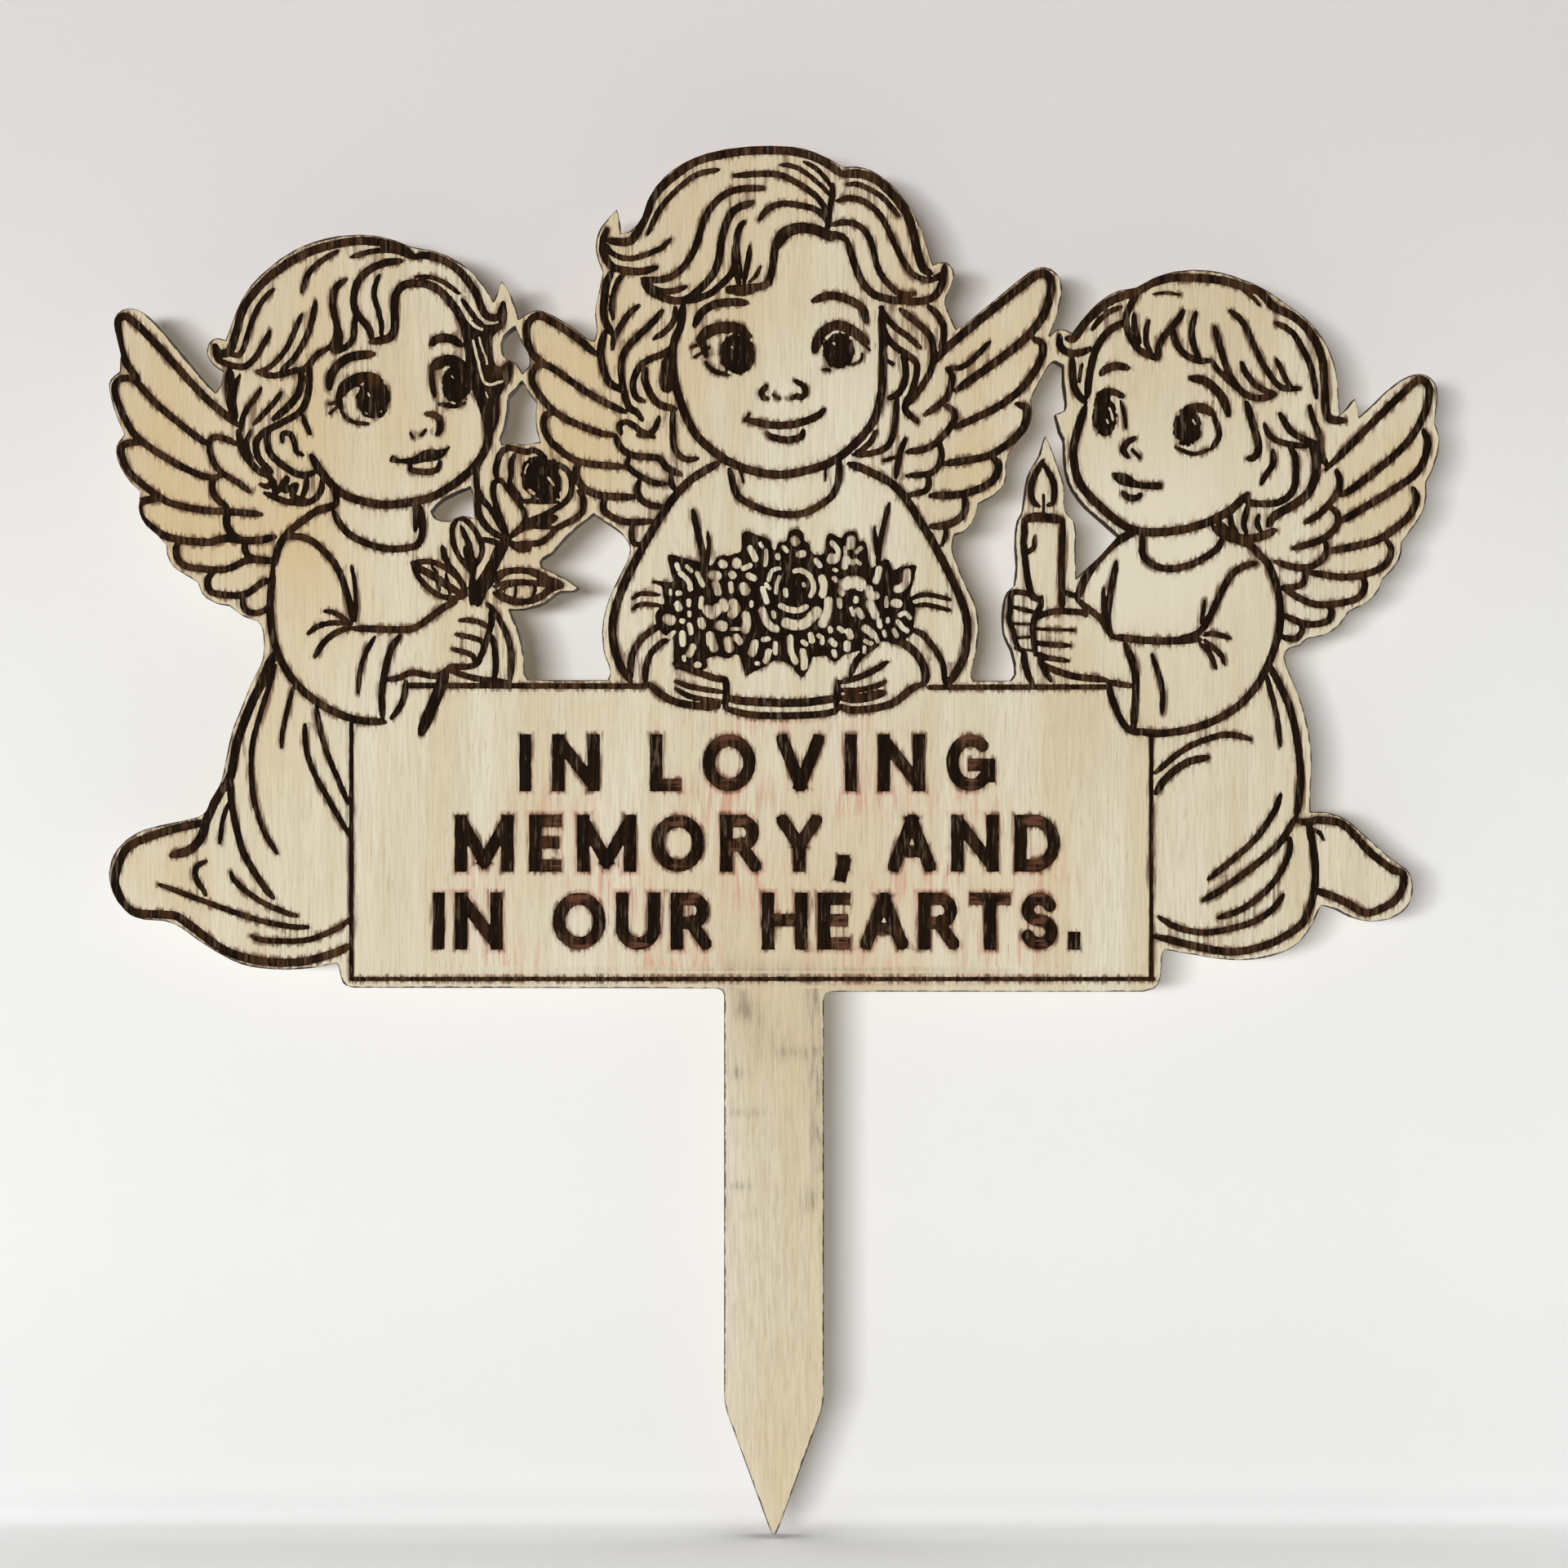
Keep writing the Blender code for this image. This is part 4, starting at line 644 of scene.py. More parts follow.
BOUQUET_LIGHTS = [
    (0.45, (-14.6, 145.8), (-14.4, 145.2)), (0.35, (-13.1, 145.6), (-12.4, 144.9)),
    (0.5, (-14.1, 144.6), (-13.2, 143.8), (-12.7, 143), (-12.6, 142.2)),
    (0.5, (-11.5, 144.5), (-11.1, 143.6), (-10.7, 142.8)), (0.6, (-14.4, 141.6), (-14.2, 141.6)),
    (0.25, (-15.6, 142), (-15.5, 141.4)), (0.8, (-14.5, 139.9), (-14.3, 139.3)),
    (0.45, (-12.8, 140.4), (-12.8, 139.8)), (0.45, (-10.9, 140.8), (-11, 139.5)),
    (0.3, (-12.7, 138.7), (-12.7, 138.2)), (1.3, (-16, 137.7), (-15.5, 137.5)),
    (0.5, (-13.9, 137.4), (-13.7, 137.4)), (0.5, (-12.7, 136.8), (-12.5, 135.6)),
    (0.9, (-11, 137.4), (-10.8, 136.7)), (0.4, (-15.8, 135), (-15, 135.7)),
    (0.75, (-13.8, 135.5), (-13.7, 134)), (0.8, (-12.2, 133.5), (-12.7, 132.4)),
    (0.3, (-13.6, 132), (-13.5, 131.5)), (0.7, (-11.6, 130.8), (-11.4, 130.8)),
    (1, (-9.6, 135.2), (-9.2, 134), (-9, 133.3)), (0.4, (-9.9, 134.6), (-9.8, 133.9)),
    (1.1, (-6.9, 134.4), (-6.7, 133.3)), (0.8, (-5.7, 135), (-5.1, 134.3)),
    (1, (-7.8, 146), (-7.6, 145.9)), (1.1, (-5.6, 146.2), (-5.6, 145.9)),
    (0.5, (-4.6, 145.3), (-3.6, 145.7)), (0.9, (-6.3, 144.4), (-6.2, 144.2)),
    (0.7, (-3.8, 144.2), (-3, 143.8)), (1.2, (-9.2, 144.3), (-8.6, 144.2)),
    (0.9, (-8.8, 143), (-8.4, 141.7)), (0.5, (-6.5, 143), (-6.4, 141.9)),
    (1.2, (-4.6, 142.5), (-4.3, 141.9)), (0.35, (-3.4, 140.2), (-3.4, 139.7)),
    (1.3, (-8.1, 136.7), (-7.7, 136.6)), (1.4, (-9.9, 139), (-9.3, 138.5), (-8.4, 139.3)),
    (1, (-7.7, 140.2), (-7.4, 139.4)), (1.1, (-6.2, 140.1), (-5.7, 139.2), (-6.3, 138.4)),
    (1.1, (-4.3, 138.2), (-4.1, 137.2), (-4.3, 136.1)), (0.3, (-6.3, 136.2), (-5.4, 136.2)),
    (0.7, (-3.6, 148.3), (-3.1, 147.4), (-2.8, 146.7)), (0.35, (-2.1, 149), (-1.8, 148.6)),
    (0.3, (-1.2, 148), (-1.2, 146.5), (-1.3, 145.8)), (0.5, (0.5, 147.2), (0.6, 146.9)),
    (0.35, (-0.8, 143.6), (-0.4, 144.8), (0.3, 145.2), (0.8, 145.3)),
    (0.25, (-1.2, 143), (-0.7, 142.3)), (0.6, (-1.7, 142.2), (-1.4, 141.2), (-1.1, 140.3)),
    (0.9, (-1.8, 139), (-1.2, 137.5), (-0.4, 136.5), (0.3, 136.2)), (0.35, (-0.1, 138.7), (0, 138)),
    (1, (-2.9, 134), (-3.3, 132.6)), (0.5, (-1.6, 134.6), (-0.9, 134.7)),
    (0.45, (0.2, 134), (0.2, 132.6)), (0.7, (-0.8, 132.8), (-1.2, 131.4)),
    (0.4, (-2.6, 131), (-2.4, 131)), (0.35, (1.4, 148.5), (2, 147.9)),
    (1.1, (3.1, 149.5), (3.2, 149.3)), (0.8, (3.8, 147.4), (4.3, 147.5)),
    (0.55, (6.3, 146.5), (6.9, 145.7)),
    (0.55, (8.7, 149.1), (9.2, 148.6), (9.6, 148), (9.6, 147), (9.1, 146.4), (8.4, 146.4)),
    (0.9, (8.7, 147), (8.5, 146.6)), (0.3, (9, 145.1), (9.4, 145)), (0.5, (9, 143.8), (9.3, 143.5)),
    (1.1, (11.6, 149.6), (11.5, 148.8)), (0.5, (12.4, 147.8), (13, 148.3)),
    (0.3, (10.7, 148.4), (10.7, 147.3)), (0.8, (10.8, 146.7), (10.6, 145.6)),
    (0.35, (11.3, 146.6), (11.8, 146), (12.2, 146.5), (12.9, 146)),
    (0.7, (15.8, 145.2), (15.5, 144), (15.3, 143.4)),
    (1.6, (10.6, 142.9), (11.5, 143.2), (12.6, 143.2), (13, 142.8)), (0.8, (10.1, 142), (10.2, 141.6)),
    (0.5, (9.8, 140.6), (9.9, 139.6)), (0.6, (12.3, 140.7), (12.3, 140.4)),
    (1, (14.2, 142.2), (14.5, 141.1), (15.3, 141.2)), (1.1, (14.4, 140), (14.9, 139), (15.2, 138.3)),
    (0.7, (12.6, 139), (13.2, 138.1)), (0.3, (11.6, 139.3), (11.9, 138.3)),
    (0.3, (0.8, 144), (0.4, 142.8), (0.3, 141.6)),
    (0.5, (3.1, 144.9), (4, 145), (5, 144.5), (5.2, 144.3)),
    (0.5, (5.4, 144.2), (5.9, 143), (5.9, 142), (5.5, 141.2)),
    (0.9, (7.2, 143.8), (7.5, 142.6), (7.3, 141.4)), (0.5, (1.7, 142), (1.8, 141.3)),
    (0.25, (4.4, 143), (4.5, 142.7)), (0.6, (1, 139.7), (2, 139.2), (3.6, 139), (4.8, 139.5)),
    (1.3, (1.8, 137.1), (3.2, 136.8), (4.6, 137), (5.6, 137.9), (6.4, 138.8)),
    (1.1, (8.2, 140.4), (8.1, 139), (7.7, 137.9), (7.3, 137)),
    (0.7, (2.4, 134.9), (2.5, 133), (2.9, 132), (3.2, 131.3)), (0.4, (4.3, 134.3), (4.8, 133.9)),
    (0.8, (4.3, 132.8), (4.5, 131.5), (4.5, 130.5)), (0.6, (5.5, 135.3), (5.7, 134.4)),
    (0.4, (6.7, 135.2), (7.2, 134.9), (7.2, 134.1)), (0.5, (8.4, 136.3), (8.5, 135.9)),
    (0.7, (8.6, 134.4), (9.1, 133.9)), (0.5, (9, 132.8), (9.2, 132.2)),
    (0.5, (9.8, 136.3), (10.3, 135.9)), (0.8, (11.2, 135.8), (11.5, 135.1)),
    (0.9, (11, 133.9), (11, 133.3)), (0.9, (13.7, 136.3), (14.4, 135.8), (14.9, 135.3)),
    (0.4, (13.7, 134.4), (14.6, 134)), (0.35, (15.3, 135), (15.6, 134.3)),
    (0.35, (13.6, 133.4), (13.6, 132.7)), (0.5, (15.8, 137.4), (15.9, 136.6)),
    (0.35, (17.1, 137.7), (17.1, 137.3)), (0.3, (16.9, 140.9), (16.9, 139.6)),
    (1, (18.1, 140.1), (18.7, 140)), (0.4, (18.9, 138.3), (19.7, 138.6), (20.4, 137.9)),
    (0.5, (18.6, 137.3), (19.3, 136.4), (20, 135.9)), (0.35, (16.5, 135.8), (16.7, 135.2)),
    (0.5, (18, 136), (18.4, 135.2)), (0.9, (20, 144.7), (19.9, 143.4), (19.2, 142.4), (18.5, 142.2)),
]

# An eye is the centre of its iris, then the iris's half width and half height.
EYES = [
    ((-60.2, 170.8), 2.6, 3), ((-47.7, 173), 2.2, 2.9), ((-5.5, 177.5), 2.7, 3.2),
    ((9.7, 178), 2.4, 2.7), ((49.7, 168.3), 1.9, 3.1), ((62.1, 166.4), 2.1, 2.8),
]

# Soft spots on the face: (x, z, half width, half height, strength). Below zero they are pale, not warm.
WARM_SPOTS = [
    (-86, 152, 10, 10, 0.9), (-92, 166, 8, 8, 0.5), (-88, 178, 8, 6, 0.3), (-72, 150, 5, 9, 0.5),
    (-29, 163, 8, 9, 0.8), (-30, 177, 8, 6, 0.6), (30, 160, 7, 9, 0.6), (34, 178, 8, 8, 0.5),
    (-70, 168, 5, 12, 0.5), (-55, 165, 12, 9, 0.35), (-16, 172, 5, 10, 0.5), (88, 156, 9, 12, 0.5),
    (-44, 143, 6, 12, 0.4), (-92, 99, 9, 6, 0.25), (0, 14, 9, 16, 0.35), (2, 55, 7, 30, 0.25),
    (76, 175, 6, 12, 0.3), (0, 185, 14, 12, 0.25), (-24, 186, 4, 10, 0.4), (-66, 142, 9, 12, 0.55),
    (-75, 123, 6, 14, 0.4), (-26, 128, 5, 9, 0.45), (36, 97, 8, 10, 0.3), (96, 160, 5, 8, 0.5),
    (6, 203, 8, 6, 0.4), (60, 150, 15, 22, -0.7), (15, 165, 10, 14, -0.5), (20, 90, 10, 8, -0.5),
    (-64, 88, 6, 6, -0.5), (-64, 168, 4, 6, -0.3), (53, 147, 11, 12, -0.8),
]
SMUDGES = [
    (-5.4, 83, 1.6, 3, 1), (5.8, 81, 1.5, 4, 1), (0, 84.5, 8, 1, 0.8), (-4, 79, 1.6, 1.6, 0.9),
    (6.3, 71, 1.1, 6, 1), (3, 72.5, 3, 1, 0.8), (-5.6, 69.5, 1.3, 1, 1), (6.4, 60, 0.9, 6, 0.9),
    (-4.4, 63.5, 2.6, 0.6, 1), (-5.4, 52.5, 1.8, 0.6, 1), (5.8, 50.5, 1.6, 1.6, 0.9),
    (-2, 75, 4, 5, 0.4), (0, 36, 12, 44, 0.34), (60, 86, 3, 2, 0.3), (97, 100, 2.5, 6, 0.35),
    (26, 148, 3, 6, 0.4),
]
STAINS = [
    (-33, 109, 7, 4, 0.6), (-8, 110.5, 8, 4, 0.8), (14, 110.5, 8, 4, 0.7), (30, 110, 6, 4, 0.5),
    (-46, 98, 6, 4, 0.6), (-24, 98, 7, 4, 0.8), (-2, 98, 7, 4, 0.8), (22, 98, 8, 4, 0.7),
    (40, 98, 6, 4, 0.6), (-40, 86.5, 7, 3.5, 0.6), (-14, 86.5, 9, 3.5, 0.8), (12, 86.5, 8, 3.5, 0.6),
    (34, 87, 8, 4, 0.7), (0, 121.5, 20, 1.6, 0.5),
]

# Lettering: a stock phrase in plain bold capitals. A letter has its width and its strokes, whose places
# run from 0 to 1 between the middles of its outer strokes, across and up: a bar has its two ends, and an
# arc its centre, its radii across and up, and the angles that it runs between.
CAP_HEIGHT = 8.6
STEM = 1.9
WORD_GAP = 7.5
COMMA_GAP = 5.5
TEXT_CENTRE = -2.5
TEXT_LOW = (-58, 86.5)  # corners of a box around the lettering
TEXT_HIGH = (53, 121)
# Each line has its text, the Z of its foot and the gap between its letters.
TEXT_LINES = [("IN LOVING", 111.8, 3.1), ("MEMORY, AND", 99.7, 2.3), ("IN OUR HEARTS.", 88.0, 1.5)]
BAR = "bar"
ARC = "arc"
LETTERS = {
    "A": (7.2, [(BAR, 0, 0, 0.5, 1), (BAR, 0.5, 1, 1, 0), (BAR, 0.2, 0.32, 0.8, 0.32)]),
    "D": (6.9, [(BAR, 0, 0, 0, 1), (BAR, 0, 0, 0.4, 0), (BAR, 0, 1, 0.4, 1),
               (ARC, 0.4, 0.5, 0.6, 0.5, -90, 90)]),
    "E": (4.9, [(BAR, 0, 0, 0, 1), (BAR, 0, 0, 1, 0), (BAR, 0, 0.52, 0.9, 0.52), (BAR, 0, 1, 1, 1)]),
    "G": (7.4, [(ARC, 0.5, 0.5, 0.5, 0.5, 50, 330), (BAR, 1, 0.2, 1, 0.45), (BAR, 1, 0.45, 0.6, 0.45)]),
    "H": (6.9, [(BAR, 0, 0, 0, 1), (BAR, 1, 0, 1, 1), (BAR, 0, 0.52, 1, 0.52)]),
    "I": (1.8, [(BAR, 0, 0, 0, 1)]),
    "L": (4.8, [(BAR, 0, 0, 0, 1), (BAR, 0, 0, 1, 0)]),
    "M": (8.9, [(BAR, 0, 0, 0, 1), (BAR, 1, 0, 1, 1), (BAR, 0, 1, 0.5, 0.1), (BAR, 0.5, 0.1, 1, 1)]),
    "N": (7.2, [(BAR, 0, 0, 0, 1), (BAR, 1, 0, 1, 1), (BAR, 0, 1, 1, 0)]),
    "O": (8, [(ARC, 0.5, 0.5, 0.5, 0.5, 0, 360)]),
    "R": (6.2, [(BAR, 0, 0, 0, 1), (BAR, 0, 1, 0.5, 1), (BAR, 0, 0.46, 0.5, 0.46),
               (ARC, 0.5, 0.73, 0.42, 0.27, -90, 90), (BAR, 0.5, 0.46, 1, 0)]),
    "S": (5.6, [(ARC, 0.5, 0.76, 0.46, 0.24, 20, 270), (ARC, 0.5, 0.26, 0.5, 0.26, -160, 90)]),
    "T": (6.2, [(BAR, 0, 1, 1, 1), (BAR, 0.5, 0, 0.5, 1)]),
    "U": (6.7, [(BAR, 0, 0.35, 0, 1), (BAR, 1, 0.35, 1, 1), (ARC, 0.5, 0.35, 0.5, 0.35, 180, 360)]),
    "V": (7.2, [(BAR, 0, 1, 0.5, 0), (BAR, 0.5, 0, 1, 1)]),
    "Y": (6.8, [(BAR, 0, 1, 0.5, 0.45), (BAR, 1, 1, 0.5, 0.45), (BAR, 0.5, 0.45, 0.5, 0)]),
    ".": (2.1, [(BAR, 0, 0, 0, 0.12)]),
    ",": (2.1, [(BAR, 0, 0, 0, 0.1), (BAR, 0.2, 0.05, -1, -0.22)]),
}

STROKE_GROUPS = [
    LEFT_ROBE, LEFT_ARM, LEFT_SHOULDER, LEFT_FACE, LEFT_HAIR, LEFT_WING, CENTRE_HAIR, CENTRE_FACE,
    CENTRE_BODY, CENTRE_LEFT_WING, CENTRE_RIGHT_WING, RIGHT_HAIR, RIGHT_FACE, RIGHT_BODY,
    HAND_AND_CANDLE, RIGHT_ROBE, RIGHT_WING, PANEL, ROSE]
AREAS = [LEFT_LIPS, RIGHT_LIPS, ROSE_HEART, LEFT_HAIR_SIDE, LEFT_EAR_CURL, BOUQUET]


def smooth(points, closed=False, pieces=6):
    """A Catmull-Rom curve through the points, with its speed set by the distances between them."""
    p = np.array(points, float)
    if closed:
        q = np.vstack([p[-1], p, p[:2]])
    elif len(p) < 3:
        return p
    else:
        q = np.vstack([2 * p[0] - p[1], p, 2 * p[-1] - p[-2]])
    t = np.linspace(0, 1, pieces, endpoint=False)[:, None]
    found = []
    for a, b, c, d in zip(q, q[1:], q[2:], q[3:]):
        length = np.linalg.norm(c - b)
        before = np.linalg.norm(b - a) + length
        after = np.linalg.norm(d - c) + length
        leave = (c - a) * length / before
        arrive = (d - b) * length / after
        found.append((2 * t**3 - 3 * t**2 + 1) * b + (t**3 - 2 * t**2 + t) * leave
                     + (3 * t**2 - 2 * t**3) * c + (t**3 - t**2) * arrive)
    if not closed:
        found.append(p[-1:])
    return np.vstack(found)


def crossed(a, b, x, z):
    """Whether a line to the right from each place (x, z) crosses the segment from a to b."""
    if a[1] == b[1]:
        return False
    return ((a[1] > z) != (b[1] > z)) & (x < a[0] + (z - a[1]) * (b[0] - a[0]) / (b[1] - a[1]))


def blurred(grid, blur):
    """The grid smoothed over so many nodes each way."""
    for axis, count in enumerate(blur):
        kernel = np.hanning(2 * count + 1)
        grid = np.apply_along_axis(np.convolve, axis, grid, kernel / kernel.sum(), "same")
    return grid


def blurred_noise(shape, blur, seed):
    """Smooth random values, the largest of them 1 or -1."""
    noise = blurred(np.random.RandomState(seed).uniform(-1, 1, shape), blur)
    return noise / np.abs(noise).max()


class Field:
    """Distance in mm to what was drawn, below zero inside it, on a grid over the engraved part."""

    def __init__(self, low, high):
        self.low = np.array(low, float)
        self.shape = tuple(np.ceil((np.array(high) - low) / GRID).astype(int) + 1)
        self.value = np.full(self.shape, FAR)
        self.across = np.zeros(self.shape)

    def window(self, low, high):
        """Slices of the grid over a box, and the coordinates of the nodes in them."""
        first = np.clip(np.floor((low - self.low) / GRID).astype(int), 0, np.array(self.shape) - 1)
        last = np.clip(np.ceil((high - self.low) / GRID).astype(int) + 1, 1, self.shape)
        part = (slice(first[0], last[0]), slice(first[1], last[1]))
        x = self.low[0] + GRID * np.arange(first[0], last[0])[:, None]
        z = self.low[1] + GRID * np.arange(first[1], last[1])[None, :]
        return part, x, z

    def put(self, part, distance, across):
        """Keeps the nearer distance at each node, and how far its line runs across the grain."""
        nearer = distance < self.value[part]
        self.value[part][nearer] = distance[nearer]
        self.across[part][nearer] = across

    def line(self, points, radii):
        """A round-ended line through the points, with a radius at each."""
        for a, b, ra, rb in zip(points, points[1:], radii, radii[1:]):
            margin = max(ra, rb) + REACH
            part, x, z = self.window(np.minimum(a, b) - margin, np.maximum(a, b) + margin)
            run = b - a
            length = max(math.hypot(*run), 1e-6)
            t = np.clip(((x - a[0]) * run[0] + (z - a[1]) * run[1]) / length**2, 0, 1)
            distance = np.hypot(x - a[0] - t * run[0], z - a[1] - t * run[1]) - ra - (rb - ra) * t
            self.put(part, distance, abs(run[0]) / length)

    def stroke(self, width, *points):
        """A pen stroke that narrows towards its ends."""
        line = smooth(points)
        along = np.concatenate([[0], np.cumsum(np.hypot(*np.diff(line, axis=0).T))])
        from_end = np.clip(np.minimum(along, along[-1] - along) / TIP_LENGTH, 0, 1)
        radius = (width + BURN_SPREAD) / 2
        self.line(line, radius * (TIP_SHARE + (1 - TIP_SHARE) * np.sqrt(from_end)))

    def area(self, loop):
        """The inside of a closed loop of points."""
        low, high = loop.min(0) - REACH, loop.max(0) + REACH
        part, x, z = self.window(low, high)
        distance = np.full(self.value[part].shape, FAR)
        inside = np.zeros(distance.shape, bool)
        for a, b in zip(loop, np.roll(loop, -1, axis=0)):
            run = b - a
            t = np.clip(((x - a[0]) * run[0] + (z - a[1]) * run[1]) / max(run @ run, 1e-9), 0, 1)
            distance = np.minimum(distance, np.hypot(x - a[0] - t * run[0], z - a[1] - t * run[1]))
            inside ^= crossed(a, b, x, z)
        self.put(part, np.where(inside, -distance, distance), AREA_ACROSS)

    def scribble(self, low, high):
        """Breaks up what is drawn in a box, as a pen that goes over it many times would."""
        part, x, z = self.window(low - 1, high + 1)
        noise = blurred_noise(self.value[part].shape, (2, 3), int(abs(low[0]) * 7))
        round_off = np.clip(np.minimum(np.minimum(x - low[0], high[0] - x),
                                       np.minimum(z - low[1], high[1] - z)) + 0.6, 0, 1)
        self.value[part] += SCRIBBLE * noise * round_off

    def bar(self, a, b, width, low, high):
        """A flat-ended bar, cut off at its letter's box from the corner low to the corner high."""
        part, x, z = self.window(np.minimum(a, b) - width - REACH, np.maximum(a, b) + width + REACH)
        run = b - a
        length = math.hypot(*run)
        along = ((x - a[0]) * run[0] + (z - a[1]) * run[1]) / length
        aside = abs((x - a[0]) * run[1] - (z - a[1]) * run[0]) / length
        distance = np.maximum(aside - width / 2, abs(along - length / 2) - length / 2 - width / 2)
        distance = np.maximum(distance, np.maximum(low[0] - x, x - high[0]))
        distance = np.maximum(distance, np.maximum(low[1] - z, z - high[1]))
        self.put(part, distance, abs(run[0]) / length)

    def at(self, points, grid):
        """The grid's value at each point, worked out between its nodes."""
        place = np.clip((points - self.low) / GRID, 0, np.array(self.shape) - 1.001)
        i, j = np.floor(place).astype(int).T
        u, v = (place - np.floor(place)).T
        lower = grid[i, j] * (1 - u) + grid[i + 1, j] * u
        upper = grid[i, j + 1] * (1 - u) + grid[i + 1, j + 1] * u
        return lower * (1 - v) + upper * v


def ellipse(centre, half_width, half_height):
    """The outline of an eye's iris."""
    angle = np.linspace(0, 2 * math.pi, ROUND_POINTS, endpoint=False)
    return np.array(centre) + np.column_stack([half_width * np.cos(angle),
                                               half_height * np.sin(angle)])


def draw_text(field):
    """The three lines of capitals, each centred on the panel."""
    for text, base, gap in TEXT_LINES:
        spaces = [COMMA_GAP if before == "," else WORD_GAP for before in " " + text]
        widths = [space - gap if letter == " " else LETTERS[letter][0]
                  for letter, space in zip(text, spaces)]
        left = TEXT_CENTRE - (sum(widths) + gap * (len(text) - 1) - gap * text.count(" ")) / 2
        for letter, width in zip(text, widths):
            if letter == " ":
                left += width
                continue
            inset = STEM / 2
            span = np.array([max(width - STEM, 0.4), CAP_HEIGHT - STEM])
            corner = np.array([left + inset, base + inset])
            low, high = np.array([left, base]), np.array([left + width, base + CAP_HEIGHT])
            if letter == ",":
                low -= STEM
            for kind, *numbers in LETTERS[letter][1]:
                if kind == BAR:
                    ends = corner + np.array(numbers).reshape(2, 2) * span
                    field.bar(ends[0], ends[1], STEM, low, high)
                    continue
                centre = corner + np.array(numbers[:2]) * span
                radii = np.array(numbers[2:4]) * span
                angle = np.radians(np.linspace(numbers[4], numbers[5], ARC_POINTS))
                points = centre + np.column_stack([np.cos(angle), np.sin(angle)]) * radii
                field.line(points, np.full(len(points), STEM / 2))
            left += width + gap


def engraving_field(low, high):
    """The whole drawing, less the light marks in it, with its edges pulled by the grain."""
    field = Field(low, high)
    for group in STROKE_GROUPS:
        for width, *points in group:
            field.stroke(width, *points)
    for loop in AREAS:
        field.area(smooth(loop, closed=True, pieces=4))
    for centre, half_width, half_height in EYES:
        field.area(ellipse(centre, half_width, half_height))
    for loop in [ellipse(*eye) for eye in EYES] + [np.array(ROSE_HEART)]:
        field.scribble(loop.min(0), loop.max(0))
    draw_text(field)
    lights = Field(low, high)
    for group, spread in ((FINE_LIGHTS, FINE_SPREAD), (BOUQUET_LIGHTS, LIGHT_SPREAD)):
        for width, *points in group:
            line = smooth(points)
            lights.line(line, np.full(len(line), spread + width / 2))
    grain = blurred_noise(field.shape, (1, 5), 3) + 0.6 * blurred_noise(field.shape, (2, 2), 4)
    field.value = np.maximum(field.value, -lights.value) + RAGGEDNESS * grain
    return field


def widest(grid, reach):
    """The largest value within so many nodes each way."""
    for axis in (0, 1):
        padded = [np.roll(grid, shift, axis) for shift in range(-reach, reach + 1)]
        grid = np.max(padded, axis=0)
    return grid


def smoke_of(field):
    """How much engraved wood lies straight above or below: smoke is drawn along the upright grain."""
    return blurred((field.value < 0).astype(float), (3, SMOKE_NODES))


def crossings(value, flat, low):
    """Where the field changes sign along a side of a grid square: a point for each side's key."""
    places = {}
    nx, nz = value.shape
    for axis in (0, 1):
        first = (slice(0, nx - 1), slice(None)) if axis == 0 else (slice(None), slice(0, nz - 1))
        second = (slice(1, nx), slice(None)) if axis == 0 else (slice(None), slice(1, nz))
        i, j = np.nonzero((value[first] > 0) != (value[second] > 0))
        share = value[first][i, j] / (value[first][i, j] - value[second][i, j])
        x = low[0] + GRID * (i + (share if axis == 0 else 0))
        z = low[1] + GRID * (j + (share if axis == 1 else 0))
        places.update(zip((2 * flat[i, j] + axis).tolist(), zip(x.tolist(), z.tolist())))
    return places


def side_pairs(value, flat):
    """The pairs of sides that the contour joins across each grid square."""
    above = value > 0
    corners = [above[:-1, :-1], above[1:, :-1], above[1:, 1:], above[:-1, 1:]]
    sides = [corners[k] != corners[(k + 1) % 4] for k in range(4)]
    i, j = np.nonzero(sides[0] | sides[1] | sides[2] | sides[3])
    base = flat[i, j]
    keys = np.stack([2 * base, 2 * flat[i + 1, j] + 1, 2 * flat[i, j + 1], 2 * base + 1], axis=1)
    hits = np.stack([side[i, j] for side in sides], axis=1)
    middle_above = value[i, j] + value[i + 1, j] + value[i, j + 1] + value[i + 1, j + 1] > 0
    for row, hit, apart in zip(keys.tolist(), hits.tolist(), (middle_above == above[i, j]).tolist()):
        found = [key for key, yes in zip(row, hit) if yes]
        if len(found) == 2:
            yield found
        elif apart:
            yield from (row[:2], row[2:])
        else:
            yield from ((row[0], row[3]), row[1:3])


def contour(field, level, tolerance):
    """Closed loops of points where the field has this value."""
    value = field.value - level
    value[value == 0] = 1e-7
    flat = np.arange(value.size).reshape(value.shape)
    places = crossings(value, flat, field.low)
    links = {key: [] for key in places}
    for a, b in side_pairs(value, flat):
        links[a].append(b)
        links[b].append(a)
    loops = []
    unused = dict.fromkeys(places)
    while unused:
        chain = []
        ahead = [next(iter(unused))]
        while ahead:
            here = ahead[0]
            del unused[here]
            chain.append(here)
            ahead = [key for key in links[here] if key in unused]
        if len(chain) > SHORTEST_LOOP:
            loops.append(thinned(np.array([places[key] for key in chain]), tolerance))
    return loops


